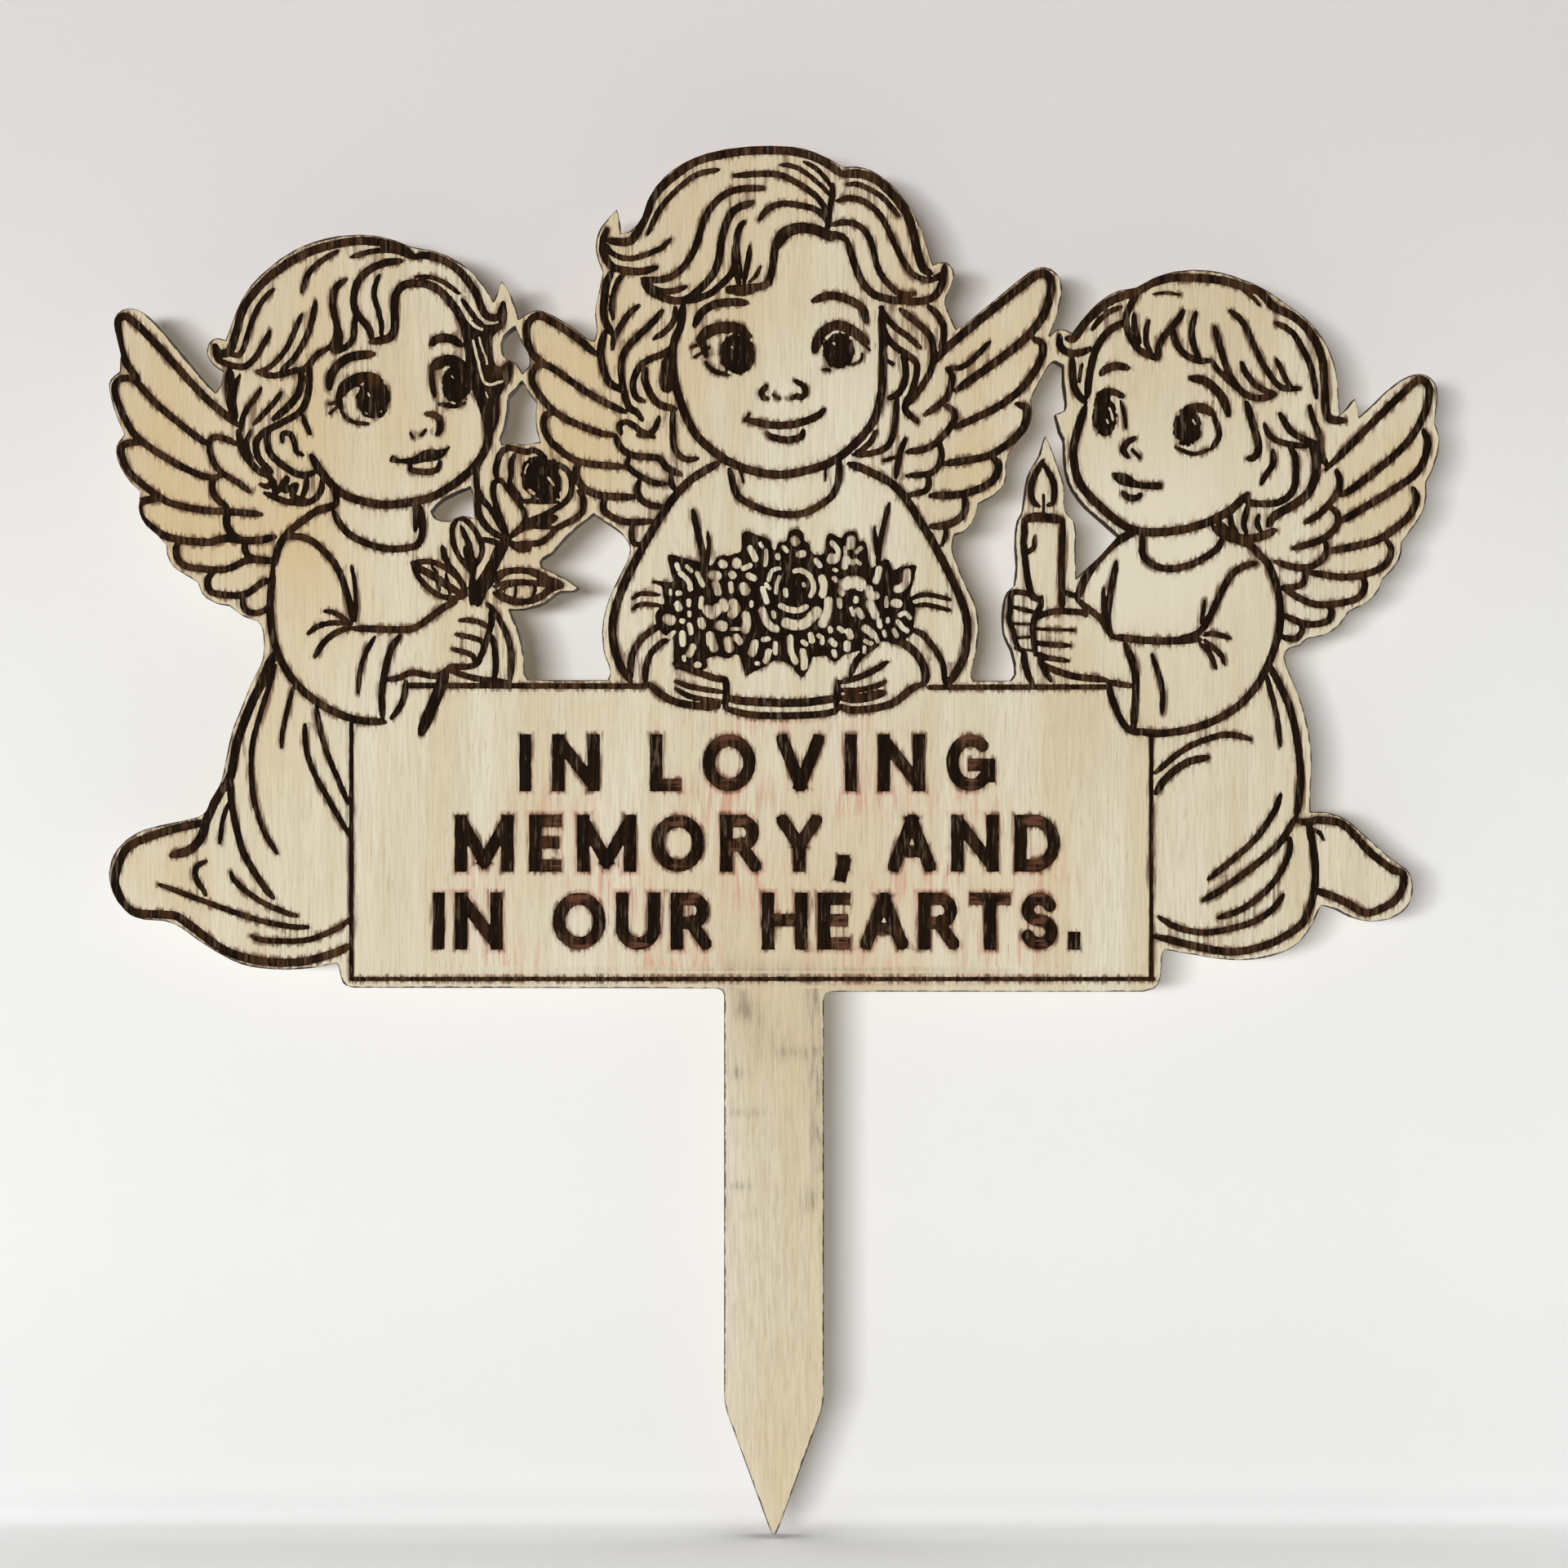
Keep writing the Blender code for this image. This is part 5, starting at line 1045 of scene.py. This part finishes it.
def thinned(loop, tolerance):
    """The loop with points left out where it stays within the tolerance."""
    keep = np.zeros(len(loop), bool)
    far = int(np.argmax(np.hypot(*(loop - loop[0]).T)))
    keep[[0, far]] = True
    closed = np.vstack([loop, loop[:1]])
    jobs = [(0, far), (far, len(loop))]
    while jobs:
        first, last = jobs.pop()
        if last - first < 2:
            continue
        run = closed[last] - closed[first]
        length = max(math.hypot(*run), 1e-9)
        between = closed[first + 1:last] - closed[first]
        off = abs(between[:, 0] * run[1] - between[:, 1] * run[0]) / length
        worst = int(np.argmax(off))
        if off[worst] > tolerance:
            middle = first + 1 + worst
            keep[middle] = True
            jobs += [(first, middle), (middle, last)]
    return loop[keep]


def outline_loops(node):
    """The loops of the outline and openings of a CAD ply, in mm, from the edges of its front face."""
    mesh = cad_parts[node].data
    places = np.array([v.co for v in mesh.vertices]) / MM
    front = places[:, 1].min() + 0.01
    known = {}
    same = [known.setdefault(key, len(known)) for key in map(tuple, np.round(places[:, ::2], 3))]
    points = np.array(list(known))
    after = {}
    for face in mesh.polygons:
        if max(places[v][1] for v in face.vertices) > front:
            continue
        ids = [same[v] for v in face.vertices]
        for a, b in zip(ids, ids[1:] + ids[:1]):
            if after.get(b) and a in after[b]:
                after[b].remove(a)
            else:
                after.setdefault(a, set()).add(b)
    loops = []
    while any(after.values()):
        start = next(a for a, found in after.items() if found)
        chain, here = [], start
        while not chain or here != start:
            chain.append(here)
            here = after[here].pop()
        loops.append(points[chain])
    return loops


def within(points, loops):
    """Which points are inside the plaque, by counting the outline's crossings."""
    inside = np.zeros(len(points), bool)
    x, z = points.T
    for loop in loops:
        for a, b in zip(loop, np.roll(loop, -1, axis=0)):
            inside ^= crossed(a, b, x, z)
    return inside


def spread_points(low, high, spacing):
    """Extra points over part of the face, to carry its changes of colour."""
    x, z = np.meshgrid(np.arange(low[0], high[0], spacing), np.arange(low[1], high[1], spacing))
    return np.column_stack([x.ravel() + 0.3 * np.sin(z.ravel() * 9), z.ravel()])


def spots(points, places):
    """The strength at each point of soft round spots, each (x, z, half width, half height, strength)."""
    total = np.zeros(len(points))
    for x, z, half_width, half_height, strength in places:
        away = ((points[:, 0] - x) / half_width)**2 + ((points[:, 1] - z) / half_height)**2
        total += strength * np.exp(-away)
    return np.clip(total, -1, 1)


def triangulated(loops, extra=()):
    """Points and triangles with every loop's edges kept."""
    points, edges = [Vector(p) for p in np.asarray(extra).tolist()], []
    for loop in loops:
        first = len(points)
        points += [Vector(p) for p in loop.tolist()]
        count = len(loop)
        edges += [(first + k, first + (k + 1) % count) for k in range(count)]
    found = delaunay_2d_cdt(points, edges, [], 0, 1e-5, False)
    return np.array([p[:] for p in found[0]]), np.array(found[2])


def solid(name, points, faces, front, back, attributes):
    """A closed mesh between the heights front and back at each point of a flat sheet of triangles."""
    used, faces = np.unique(faces, return_inverse=True)
    faces = faces.reshape(-1, 3)
    points = points[used]
    corner = points[faces]
    turn = np.cross(corner[:, 1] - corner[:, 0], corner[:, 2] - corner[:, 0])
    faces = np.where((turn < 0)[:, None], faces[:, ::-1], faces)
    count = len(points)
    directed = dict.fromkeys(edge for a, b, c in faces.tolist() for edge in ((a, b), (b, c), (c, a)))
    rim = [edge for edge in directed if edge[::-1] not in directed]
    walls = [(b, a, a + count, b + count) for a, b in rim]
    front, back = np.broadcast_to(front, len(used)), np.broadcast_to(back, len(used))
    places = np.vstack([np.column_stack([points[:, 0], front, points[:, 1]]),
                        np.column_stack([points[:, 0], back, points[:, 1]])]) * MM
    mesh = bpy.data.meshes.new(name)
    mesh.from_pydata(places.tolist(), [], faces.tolist() + (faces[:, ::-1] + count).tolist() + walls)
    for title, values in attributes.items():
        values = np.asarray(values, float)[used]
        layer = mesh.attributes.new(title, "FLOAT", "POINT")
        layer.data.foreach_set("value", np.concatenate([values, values]).astype(np.float32))
    mesh.validate()
    piece = bpy.data.objects.new(name, mesh)
    bpy.context.scene.collection.objects.link(piece)
    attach(piece, "root")
    return piece


# Materials. Attributes on the points tell where the wood is burnt or stained, and noise does the rest.


class Tree:
    """Short names for the shader nodes that the materials are made of."""

    def __init__(self, name):
        self.material = bpy.data.materials.new(name)
        self.material.use_nodes = True
        self.nodes = self.material.node_tree.nodes
        self.links = self.material.node_tree.links
        self.shader = self.nodes["Principled BSDF"]
        self.place = self.nodes.new("ShaderNodeTexCoord").outputs["Object"]

    def put(self, socket, value):
        """Links an output to the socket, or sets the socket to a plain value."""
        if hasattr(value, "is_linked"):
            self.links.new(value, socket)
        else:
            socket.default_value = value

    def noise(self, scale, detail=2.0, rough=0.5, move=(0, 0, 0)):
        """Noise stretched by a scale along each axis, in cycles per metre."""
        mapping = self.nodes.new("ShaderNodeMapping")
        mapping.inputs["Scale"].default_value = scale
        mapping.inputs["Location"].default_value = move
        self.links.new(self.place, mapping.inputs["Vector"])
        noise = self.nodes.new("ShaderNodeTexNoise")
        noise.inputs["Scale"].default_value = 1.0
        noise.inputs["Detail"].default_value = detail
        noise.inputs["Roughness"].default_value = rough
        self.links.new(mapping.outputs["Vector"], noise.inputs["Vector"])
        return noise.outputs["Fac"]

    def step(self, value, low, high, low_out=0.0, high_out=1.0):
        """A smooth step from one output to the other as the value goes from low to high."""
        node = self.nodes.new("ShaderNodeMapRange")
        node.interpolation_type = "SMOOTHSTEP"
        self.put(node.inputs["Value"], value)
        for name, number in (("From Min", low), ("From Max", high),
                             ("To Min", low_out), ("To Max", high_out)):
            node.inputs[name].default_value = number
        return node.outputs["Result"]

    def math(self, operation, a, b):
        node = self.nodes.new("ShaderNodeMath")
        node.operation = operation
        self.put(node.inputs[0], a)
        self.put(node.inputs[1], b)
        return node.outputs[0]

    def mix(self, share, a, b):
        node = self.nodes.new("ShaderNodeMix")
        node.data_type = "RGBA"
        self.put(node.inputs["Factor"], share)
        self.put(node.inputs[6], a)
        self.put(node.inputs[7], b)
        return node.outputs[2]

    def attribute(self, name):
        node = self.nodes.new("ShaderNodeAttribute")
        node.attribute_name = name
        return node.outputs["Fac"]

    def bump(self, height, distance, strength):
        node = self.nodes.new("ShaderNodeBump")
        node.inputs["Distance"].default_value = distance
        node.inputs["Strength"].default_value = strength
        self.links.new(height, node.inputs["Height"])
        self.links.new(node.outputs["Normal"], self.shader.inputs["Normal"])

    def finish(self, colour, roughness, specular=0.25):
        self.links.new(colour, self.shader.inputs["Base Color"])
        self.put(self.shader.inputs["Roughness"], roughness)
        self.shader.inputs["Specular IOR Level"].default_value = specular
        return self.material


def srgb(red, green, blue):
    """A shader colour from 0-255 display values."""
    parts = [v / 255 for v in (red, green, blue)]
    return tuple(v / 12.92 if v <= 0.04045 else ((v + 0.055) / 1.055) ** 2.4 for v in parts) + (1.0,)


def birch_colour(tree, pale, cream, warm, fleck, seed):
    """Birch with upright grain: broad bands, fine lines, short dark flecks and warm patches."""
    bands = tree.noise((150, 60, 9), 3, 0.55, (seed, 0, seed))
    patches = tree.noise((26, 26, 9), 2, 0.5, (seed + 3, 0, 1))
    lines = tree.noise((1100, 300, 40), 3, 0.6, (seed, 0, 2))
    threads = tree.noise((4200, 900, 160), 2, 0.5, (seed, 0, 4))
    dashes = tree.noise((3000, 900, 300), 2, 0.45, (seed, 0, 7))
    colour = tree.mix(tree.step(bands, 0.36, 0.66), pale, cream)
    colour = tree.mix(tree.step(patches, 0.47, 0.68, 0.0, 0.6), colour, warm)
    colour = tree.mix(tree.step(lines, 0.52, 0.72, 0.0, 0.3), colour, warm)
    colour = tree.mix(tree.step(threads, 0.42, 0.66, 0.0, 0.22), colour, fleck)
    return tree.mix(tree.step(dashes, 0.6, 0.72, 0.0, 0.3), colour, fleck), dashes, threads


def face_wood():
    """The front ply: birch, then stains, browning, smoke and char from the weakest to the darkest."""
    tree = Tree("face_wood")
    colour, dashes, threads = birch_colour(tree, srgb(222, 214, 190), srgb(214, 201, 170),
                                           srgb(205, 184, 146), srgb(166, 142, 106), 0.0)
    streaks = tree.noise((1700, 700, 150), 3, 0.6, (2, 0, 5))
    fibres = tree.noise((1500, 500, 170), 3, 0.6, (9, 0, 5))

    # Warmer and paler wood, then smudges, then stain round the lettering.
    warm = tree.attribute("warm")
    colour = tree.mix(tree.math("MULTIPLY", warm, 0.75), colour, srgb(206, 178, 128))
    colour = tree.mix(tree.math("MULTIPLY", warm, -0.8), colour, srgb(224, 216, 192))
    soiled = tree.math("MULTIPLY", tree.attribute("smudge"), tree.step(fibres, 0.44, 0.64, 0.3, 1.0))
    colour = tree.mix(tree.math("MULTIPLY", soiled, 0.6), colour, srgb(98, 84, 70))
    bled = tree.math("MULTIPLY", tree.attribute("stain"), tree.step(streaks, 0.46, 0.66))
    colour = tree.mix(tree.math("MULTIPLY", bled, 0.85), colour, srgb(200, 124, 102))

    # Heat from the cut edge, smoke above and below the grooves, browning beside them, the charred rim.
    heat = tree.step(tree.attribute("heat"), 0.1, 1.0, 0.0, 0.35)
    colour = tree.mix(heat, colour, srgb(186, 150, 108))
    drips = tree.noise((2300, 900, 70), 2, 0.6, (6, 0, 3))
    smoked = tree.math("MULTIPLY", tree.step(tree.attribute("smoke"), 0.02, 0.5),
                       tree.step(drips, 0.46, 0.66))
    colour = tree.mix(tree.math("MULTIPLY", smoked, 0.6), colour, srgb(122, 88, 56))
    blush = tree.math("MULTIPLY", tree.attribute("stain"), tree.attribute("halo"))
    colour = tree.mix(blush, colour, srgb(170, 82, 62))
    burn = tree.math("ADD", tree.attribute("halo"), tree.step(streaks, 0.32, 0.68, -0.45, 0.4))
    colour = tree.mix(tree.step(burn, 0.4, 1.2, 0.0, 0.9), colour, srgb(98, 66, 40))
    ragged = tree.math("ADD", tree.attribute("rim"),
                       tree.step(tree.noise((700, 700, 700), 2), 0.3, 0.7, -0.2, 0.2))
    colour = tree.mix(tree.step(ragged, 0.45, 0.85), colour, srgb(52, 34, 22))

    wall = tree.step(tree.attribute("rim"), 0.97, 1.0)
    tree.bump(tree.math("ADD", dashes, threads), 0.00005, 0.5)
    return tree.finish(colour, tree.step(wall, 0.0, 1.0, 0.62, 0.75))


def charred():
    """Burnt wood in the grooves: nearly black, browner along the edge and in lines across the grain."""
    tree = Tree("face_engraving")
    streaks = tree.noise((1500, 500, 60), 3, 0.6)
    broad = tree.noise((240, 100, 60), 2, 0.5, (5, 0, 2))
    flecks = tree.noise((2200, 900, 320), 2, 0.5, (1, 0, 9))
    across = tree.math("MULTIPLY", tree.attribute("across"), tree.step(broad, 0.3, 0.6, 0.35, 1.0))
    colour = tree.mix(tree.step(streaks, 0.4, 0.68, 0.0, 0.5), srgb(20, 11, 4), srgb(50, 33, 17))
    browned = tree.mix(tree.step(streaks, 0.38, 0.62), srgb(32, 18, 9), srgb(84, 56, 34))
    colour = tree.mix(tree.step(across, 0.3, 1.0, 0.0, 0.75), colour, browned)
    scans = tree.noise((130, 100, 1500), 1, 0.4, (3, 0, 1))
    lettering = tree.attribute("lettering")
    scanned = tree.math("MULTIPLY", tree.math("MULTIPLY", lettering,
                                              tree.step(tree.attribute("across"), 0.8, 0.97)),
                        tree.step(scans, 0.46, 0.56))
    colour = tree.mix(tree.math("MULTIPLY", scanned, 0.8), colour, srgb(104, 66, 50))
    colour = tree.mix(tree.step(flecks, 0.56, 0.72, 0.0, 0.5), colour, srgb(112, 94, 76))
    rust = tree.mix(lettering, srgb(112, 76, 44), srgb(118, 56, 40))
    colour = tree.mix(tree.step(tree.attribute("edge"), 0.5, 1.0, 0.0, 0.45), colour, rust)
    tree.bump(streaks, 0.0001, 0.6)
    return tree.finish(colour, tree.step(flecks, 0.3, 0.7, 0.7, 0.9), 0.06)


def core_birch():
    """The middle ply, seen only at its laser-cut edge: dark, with fine lines along the sheet."""
    tree = Tree("core_birch")
    layers = tree.noise((90, 2600, 90), 3, 0.6)
    soot = tree.noise((240, 240, 240), 3, 0.6)
    colour = tree.mix(tree.step(layers, 0.35, 0.7), srgb(43, 29, 20), srgb(92, 64, 42))
    colour = tree.mix(tree.step(soot, 0.45, 0.7, 0.0, 0.7), colour, srgb(28, 19, 14))
    tree.bump(layers, 0.00008, 0.6)
    return tree.finish(colour, tree.step(soot, 0.3, 0.7, 0.6, 0.8))


def back_wood():
    """The rear ply: plain birch, smoked and charred along the cut edge."""
    tree = Tree("back_wood")
    colour, dashes, threads = birch_colour(tree, srgb(220, 208, 180), srgb(210, 192, 156),
                                           srgb(198, 172, 130), srgb(158, 130, 94), 11.0)
    smoke = tree.math("ADD", tree.attribute("heat"),
                      tree.step(tree.noise((300, 300, 160), 3), 0.3, 0.7, -0.35, 0.35))
    colour = tree.mix(tree.step(smoke, 0.1, 1.1, 0.0, 0.75), colour, srgb(120, 84, 52))
    colour = tree.mix(tree.step(tree.attribute("rim"), 0.45, 0.85), colour, srgb(48, 32, 22))
    tree.bump(tree.math("ADD", dashes, threads), 0.00005, 0.5)
    return tree.finish(colour, 0.64)


def glue():
    """Glue at the cut edge, baked dark and a little glossy."""
    tree = Tree("glue_line")
    soot = tree.noise((400, 400, 400), 3)
    colour = tree.mix(tree.step(soot, 0.35, 0.65), srgb(38, 26, 18), srgb(74, 50, 32))
    return tree.finish(colour, tree.step(soot, 0.3, 0.7, 0.45, 0.6))


# The plaque

(FRONT, FACE_BACK), (CORE_FRONT, CORE_BACK), (REAR_FRONT, REAR) = [
    [corner.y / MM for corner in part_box(ply)] for ply in ("face_veneer", "core_ply", "back_veneer")]

LOOPS = outline_loops("face_veneer")
LOW_CORNER = np.min([loop.min(0) for loop in LOOPS], axis=0) - FIELD_MARGIN
HIGH_CORNER = np.max([loop.max(0) for loop in LOOPS], axis=0) + FIELD_MARGIN

edge_field = Field(LOW_CORNER, HIGH_CORNER)
for loop in LOOPS:
    ring = np.vstack([loop, loop[:1]])
    edge_field.line(ring, np.zeros(len(ring)))
HEAT_LOOPS = [loop for level in (RIM + GRID / 2, HEAT)
              for loop in contour(edge_field, level, SOFT_TOLERANCE)]


def edge_share(points, width):
    """1 on the cut edge, falling to 0 at about this distance from it."""
    away = edge_field.at(points, edge_field.value) - GRID / 2
    return np.clip(1 - away / width, 0, 1)


def make_face():
    """The front ply as two closed solids: the bare wood, and the charred wood under the grooves."""
    field = engraving_field((LOW_CORNER[0], ENGRAVED_FROM), HIGH_CORNER)
    loops = LOOPS + HEAT_LOOPS + contour(field, 0.0, CONTOUR_TOLERANCE)
    for level in (-WALL_WIDTH, HALO_STEP, HALO):
        loops += contour(field, level, SOFT_TOLERANCE)
    room = np.clip(widest(field.value, ROOM_NODES) / REACH, NARROW_HALO, 1)
    smoke = smoke_of(field)
    extra = np.vstack([spread_points(LOW_CORNER, HIGH_CORNER, SPREAD),
                       spread_points(STAKE_LOW, STAKE_HIGH, STAKE_SPREAD)])
    points, faces = triangulated(loops, extra)
    middles = points[faces].mean(1)
    inside = within(middles, LOOPS)
    above = middles[:, 1] > PLAIN_BELOW
    burnt = inside & above & (field.at(middles, field.value) < 0)
    value = np.where(points[:, 1] > PLAIN_BELOW, field.at(points, field.value), FAR)
    depth = np.clip(-value / WALL_WIDTH, 0, 1)
    depth[np.abs(value) < 1e-4] = 0
    tell = {"rim": edge_share(points, RIM), "heat": edge_share(points, HEAT),
            "halo": np.clip(1 - value / HALO, 0, 1) * field.at(points, room),
            "smoke": np.where(value < FAR, field.at(points, smoke), 0),
            "warm": spots(points, WARM_SPOTS), "smudge": spots(points, SMUDGES),
            "stain": spots(points, STAINS)}
    wood = solid("face_wood", points, faces[inside & ~burnt], FRONT, FACE_BACK, tell)
    wood.data.materials.append(face_wood())
    used = np.unique(faces[burnt])
    groove = np.full(len(points), FRONT)
    groove[used] += GROOVE_DEPTH * depth[used]
    lettering = ((points > TEXT_LOW) & (points < TEXT_HIGH)).all(1)
    tell = {"across": field.at(points, field.across), "edge": 1 - depth, "lettering": lettering}
    char = solid("face_engraving", points, faces[burnt], groove[used], FACE_BACK, tell)
    char.data.materials.append(charred())
    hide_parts("face_veneer")


def make_back():
    points, faces = triangulated(LOOPS + HEAT_LOOPS)
    faces = faces[within(points[faces].mean(1), LOOPS)]
    tell = {"rim": edge_share(points, RIM), "heat": edge_share(points, HEAT)}
    back = solid("back_wood", points, faces, REAR_FRONT, REAR, tell)
    back.data.materials.append(back_wood())
    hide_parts("back_veneer")


def make_glue_lines():
    points, faces = triangulated(LOOPS)
    faces = faces[within(points[faces].mean(1), LOOPS)]
    finish = glue()
    for name, front, back in (("front_glue_line", FACE_BACK, CORE_FRONT),
                              ("rear_glue_line", CORE_BACK, REAR_FRONT)):
        film = solid(name, points, faces, front, back, {})
        film.data.materials.append(finish)


make_face()
make_back()
make_glue_lines()
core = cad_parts["core_ply"]
core.data.materials.clear()
core.data.materials.append(core_birch())


# The stage, in metres: a pale floor, and a wall just behind the plaque, as in the photograph.

FLOOR = -0.0005
FLOOR_HALF = 2
WALL_GAP = 0.010
WALL_HALF = 0.6
WALL_HEIGHT = 0.7
SWEEP = 0.007  # radius of the curve between the floor and the wall
SWEEP_STEPS = 12
# Painted light: the paper itself glows along the foot of the wall and on the floor just in front of it.
FOOT_GLOW = 0.07  # a lit strip along the foot of the wall keeps the corner from showing
CAMERA_LENS = 85.0
SENSOR = 36.0
FRAME_WIDTH = 0.2356
AIM = Vector((0.0015, 0.0, 0.1129))


def backdrop():
    """Pale paper, a little darker towards the top and the foot as painted shade, with a painted glow
    along the foot. Seen from behind it is clear.
    """
    tree = Tree("backdrop")
    height = tree.nodes.new("ShaderNodeSeparateXYZ")
    tree.links.new(tree.place, height.inputs[0])
    tone = tree.noise((3, 3, 3), 2)
    paper = tree.mix(tree.step(tone, 0.3, 0.7), (0.85, 0.85, 0.84, 1), (0.87, 0.87, 0.86, 1))
    # Painted shade: the paper is darker towards the top.
    high = tree.step(height.outputs["Z"], 0.1, 0.235)
    # Painted light: a glowing strip at the foot of the wall and on the floor just in front of it.
    glow = tree.math("MULTIPLY", tree.step(height.outputs["Z"], 0.0, 0.008, FOOT_GLOW, 0.0),
                     tree.step(height.outputs["Y"], -0.09, -0.02))
    tree.links.new(glow, tree.shader.inputs["Emission Strength"])
    tree.shader.inputs["Emission Color"].default_value = (1, 1, 1, 1)
    colour = tree.mix(high, paper, (0.73, 0.70, 0.694, 1))
    # Painted shade: the wall is darker towards its foot.
    foot = tree.step(height.outputs["Z"], 0.004, 0.05, 1.0, 0.0)
    colour = tree.mix(foot, colour, (0.79, 0.79, 0.785, 1))
    flat = tree.step(height.outputs["Z"], 0.0, 0.003, 1.0, 0.0)
    tree.finish(tree.mix(flat, colour, (0.92, 0.92, 0.915, 1)), 0.9, 0.1)
    through = tree.nodes.new("ShaderNodeBsdfTransparent")
    facing = tree.nodes.new("ShaderNodeNewGeometry")
    choice = tree.nodes.new("ShaderNodeMixShader")
    tree.links.new(facing.outputs["Backfacing"], choice.inputs[0])
    tree.links.new(tree.shader.outputs[0], choice.inputs[1])
    tree.links.new(through.outputs[0], choice.inputs[2])
    tree.links.new(choice.outputs[0], tree.nodes["Material Output"].inputs["Surface"])
    return tree.material


def stage_sheet(name, places, polygons, material):
    mesh = bpy.data.meshes.new(name)
    mesh.from_pydata(places, [], polygons)
    mesh.materials.append(material)
    mesh.shade_smooth()
    sheet = bpy.data.objects.new(name, mesh)
    bpy.context.scene.collection.objects.link(sheet)
    return sheet


def make_stage():
    """A floor, and a wall that curves up from it and lets the light behind it by."""
    material = backdrop()
    sides = (-FLOOR_HALF, FLOOR_HALF)
    stage_sheet("floor", [(x, y, FLOOR) for x in sides for y in sides], [(0, 2, 3, 1)], material)
    back = REAR * MM + WALL_GAP
    profile = []
    for k in range(SWEEP_STEPS + 1):
        angle = math.pi / 2 * k / SWEEP_STEPS
        profile.append((back - SWEEP * (1 - math.sin(angle)), FLOOR + SWEEP * (1 - math.cos(angle))))
    profile.append((back, WALL_HEIGHT))
    places = [(x, y, z) for y, z in profile for x in (-WALL_HALF, WALL_HALF)]
    strips = [(2 * k, 2 * k + 1, 2 * k + 3, 2 * k + 2) for k in range(len(profile) - 1)]
    wall = stage_sheet("wall", places, strips, material)
    wall.visible_shadow = False


def make_light(name, place, width, height, power):
    """A rectangular light, aimed at the middle of the plaque."""
    light = bpy.data.lights.new(name, "AREA")
    light.shape = "RECTANGLE"
    light.size = width
    light.size_y = height
    light.energy = power
    lamp = bpy.data.objects.new(name, light)
    lamp.location = place
    lamp.rotation_euler = (AIM - Vector(place)).to_track_quat("-Z", "Y").to_euler()
    bpy.context.scene.collection.objects.link(lamp)


def make_camera():
    """Straight in front, so far away that the front face is framed as in the photograph."""
    data = bpy.data.cameras.new("camera")
    data.lens = CAMERA_LENS
    data.sensor_width = SENSOR
    camera = bpy.data.objects.new("camera", data)
    camera.location = AIM - Vector((0, FRAME_WIDTH * CAMERA_LENS / SENSOR - FRONT * MM, 0))
    camera.rotation_euler = (math.pi / 2, 0, 0)
    bpy.context.scene.collection.objects.link(camera)
    bpy.context.scene.camera = camera


make_stage()
make_light("key", (-0.62, -2.27, 0.13), 0.95, 0.25, 41.0)
make_light("top", (0, -0.05, 1.0), 0.3, 0.3, 2.6)
make_light("back_fill", (0.4, 1.5, 0.14), 0.8, 0.26, 3.5)
world = bpy.data.worlds.new("studio")
world.use_nodes = True
sky = world.node_tree.nodes["Background"]
sky.inputs["Color"].default_value = (1.0, 1.0, 1.0, 1.0)
sky.inputs["Strength"].default_value = 0.075
bpy.context.scene.world = world
bpy.context.scene.view_settings.view_transform = "Standard"
make_camera()
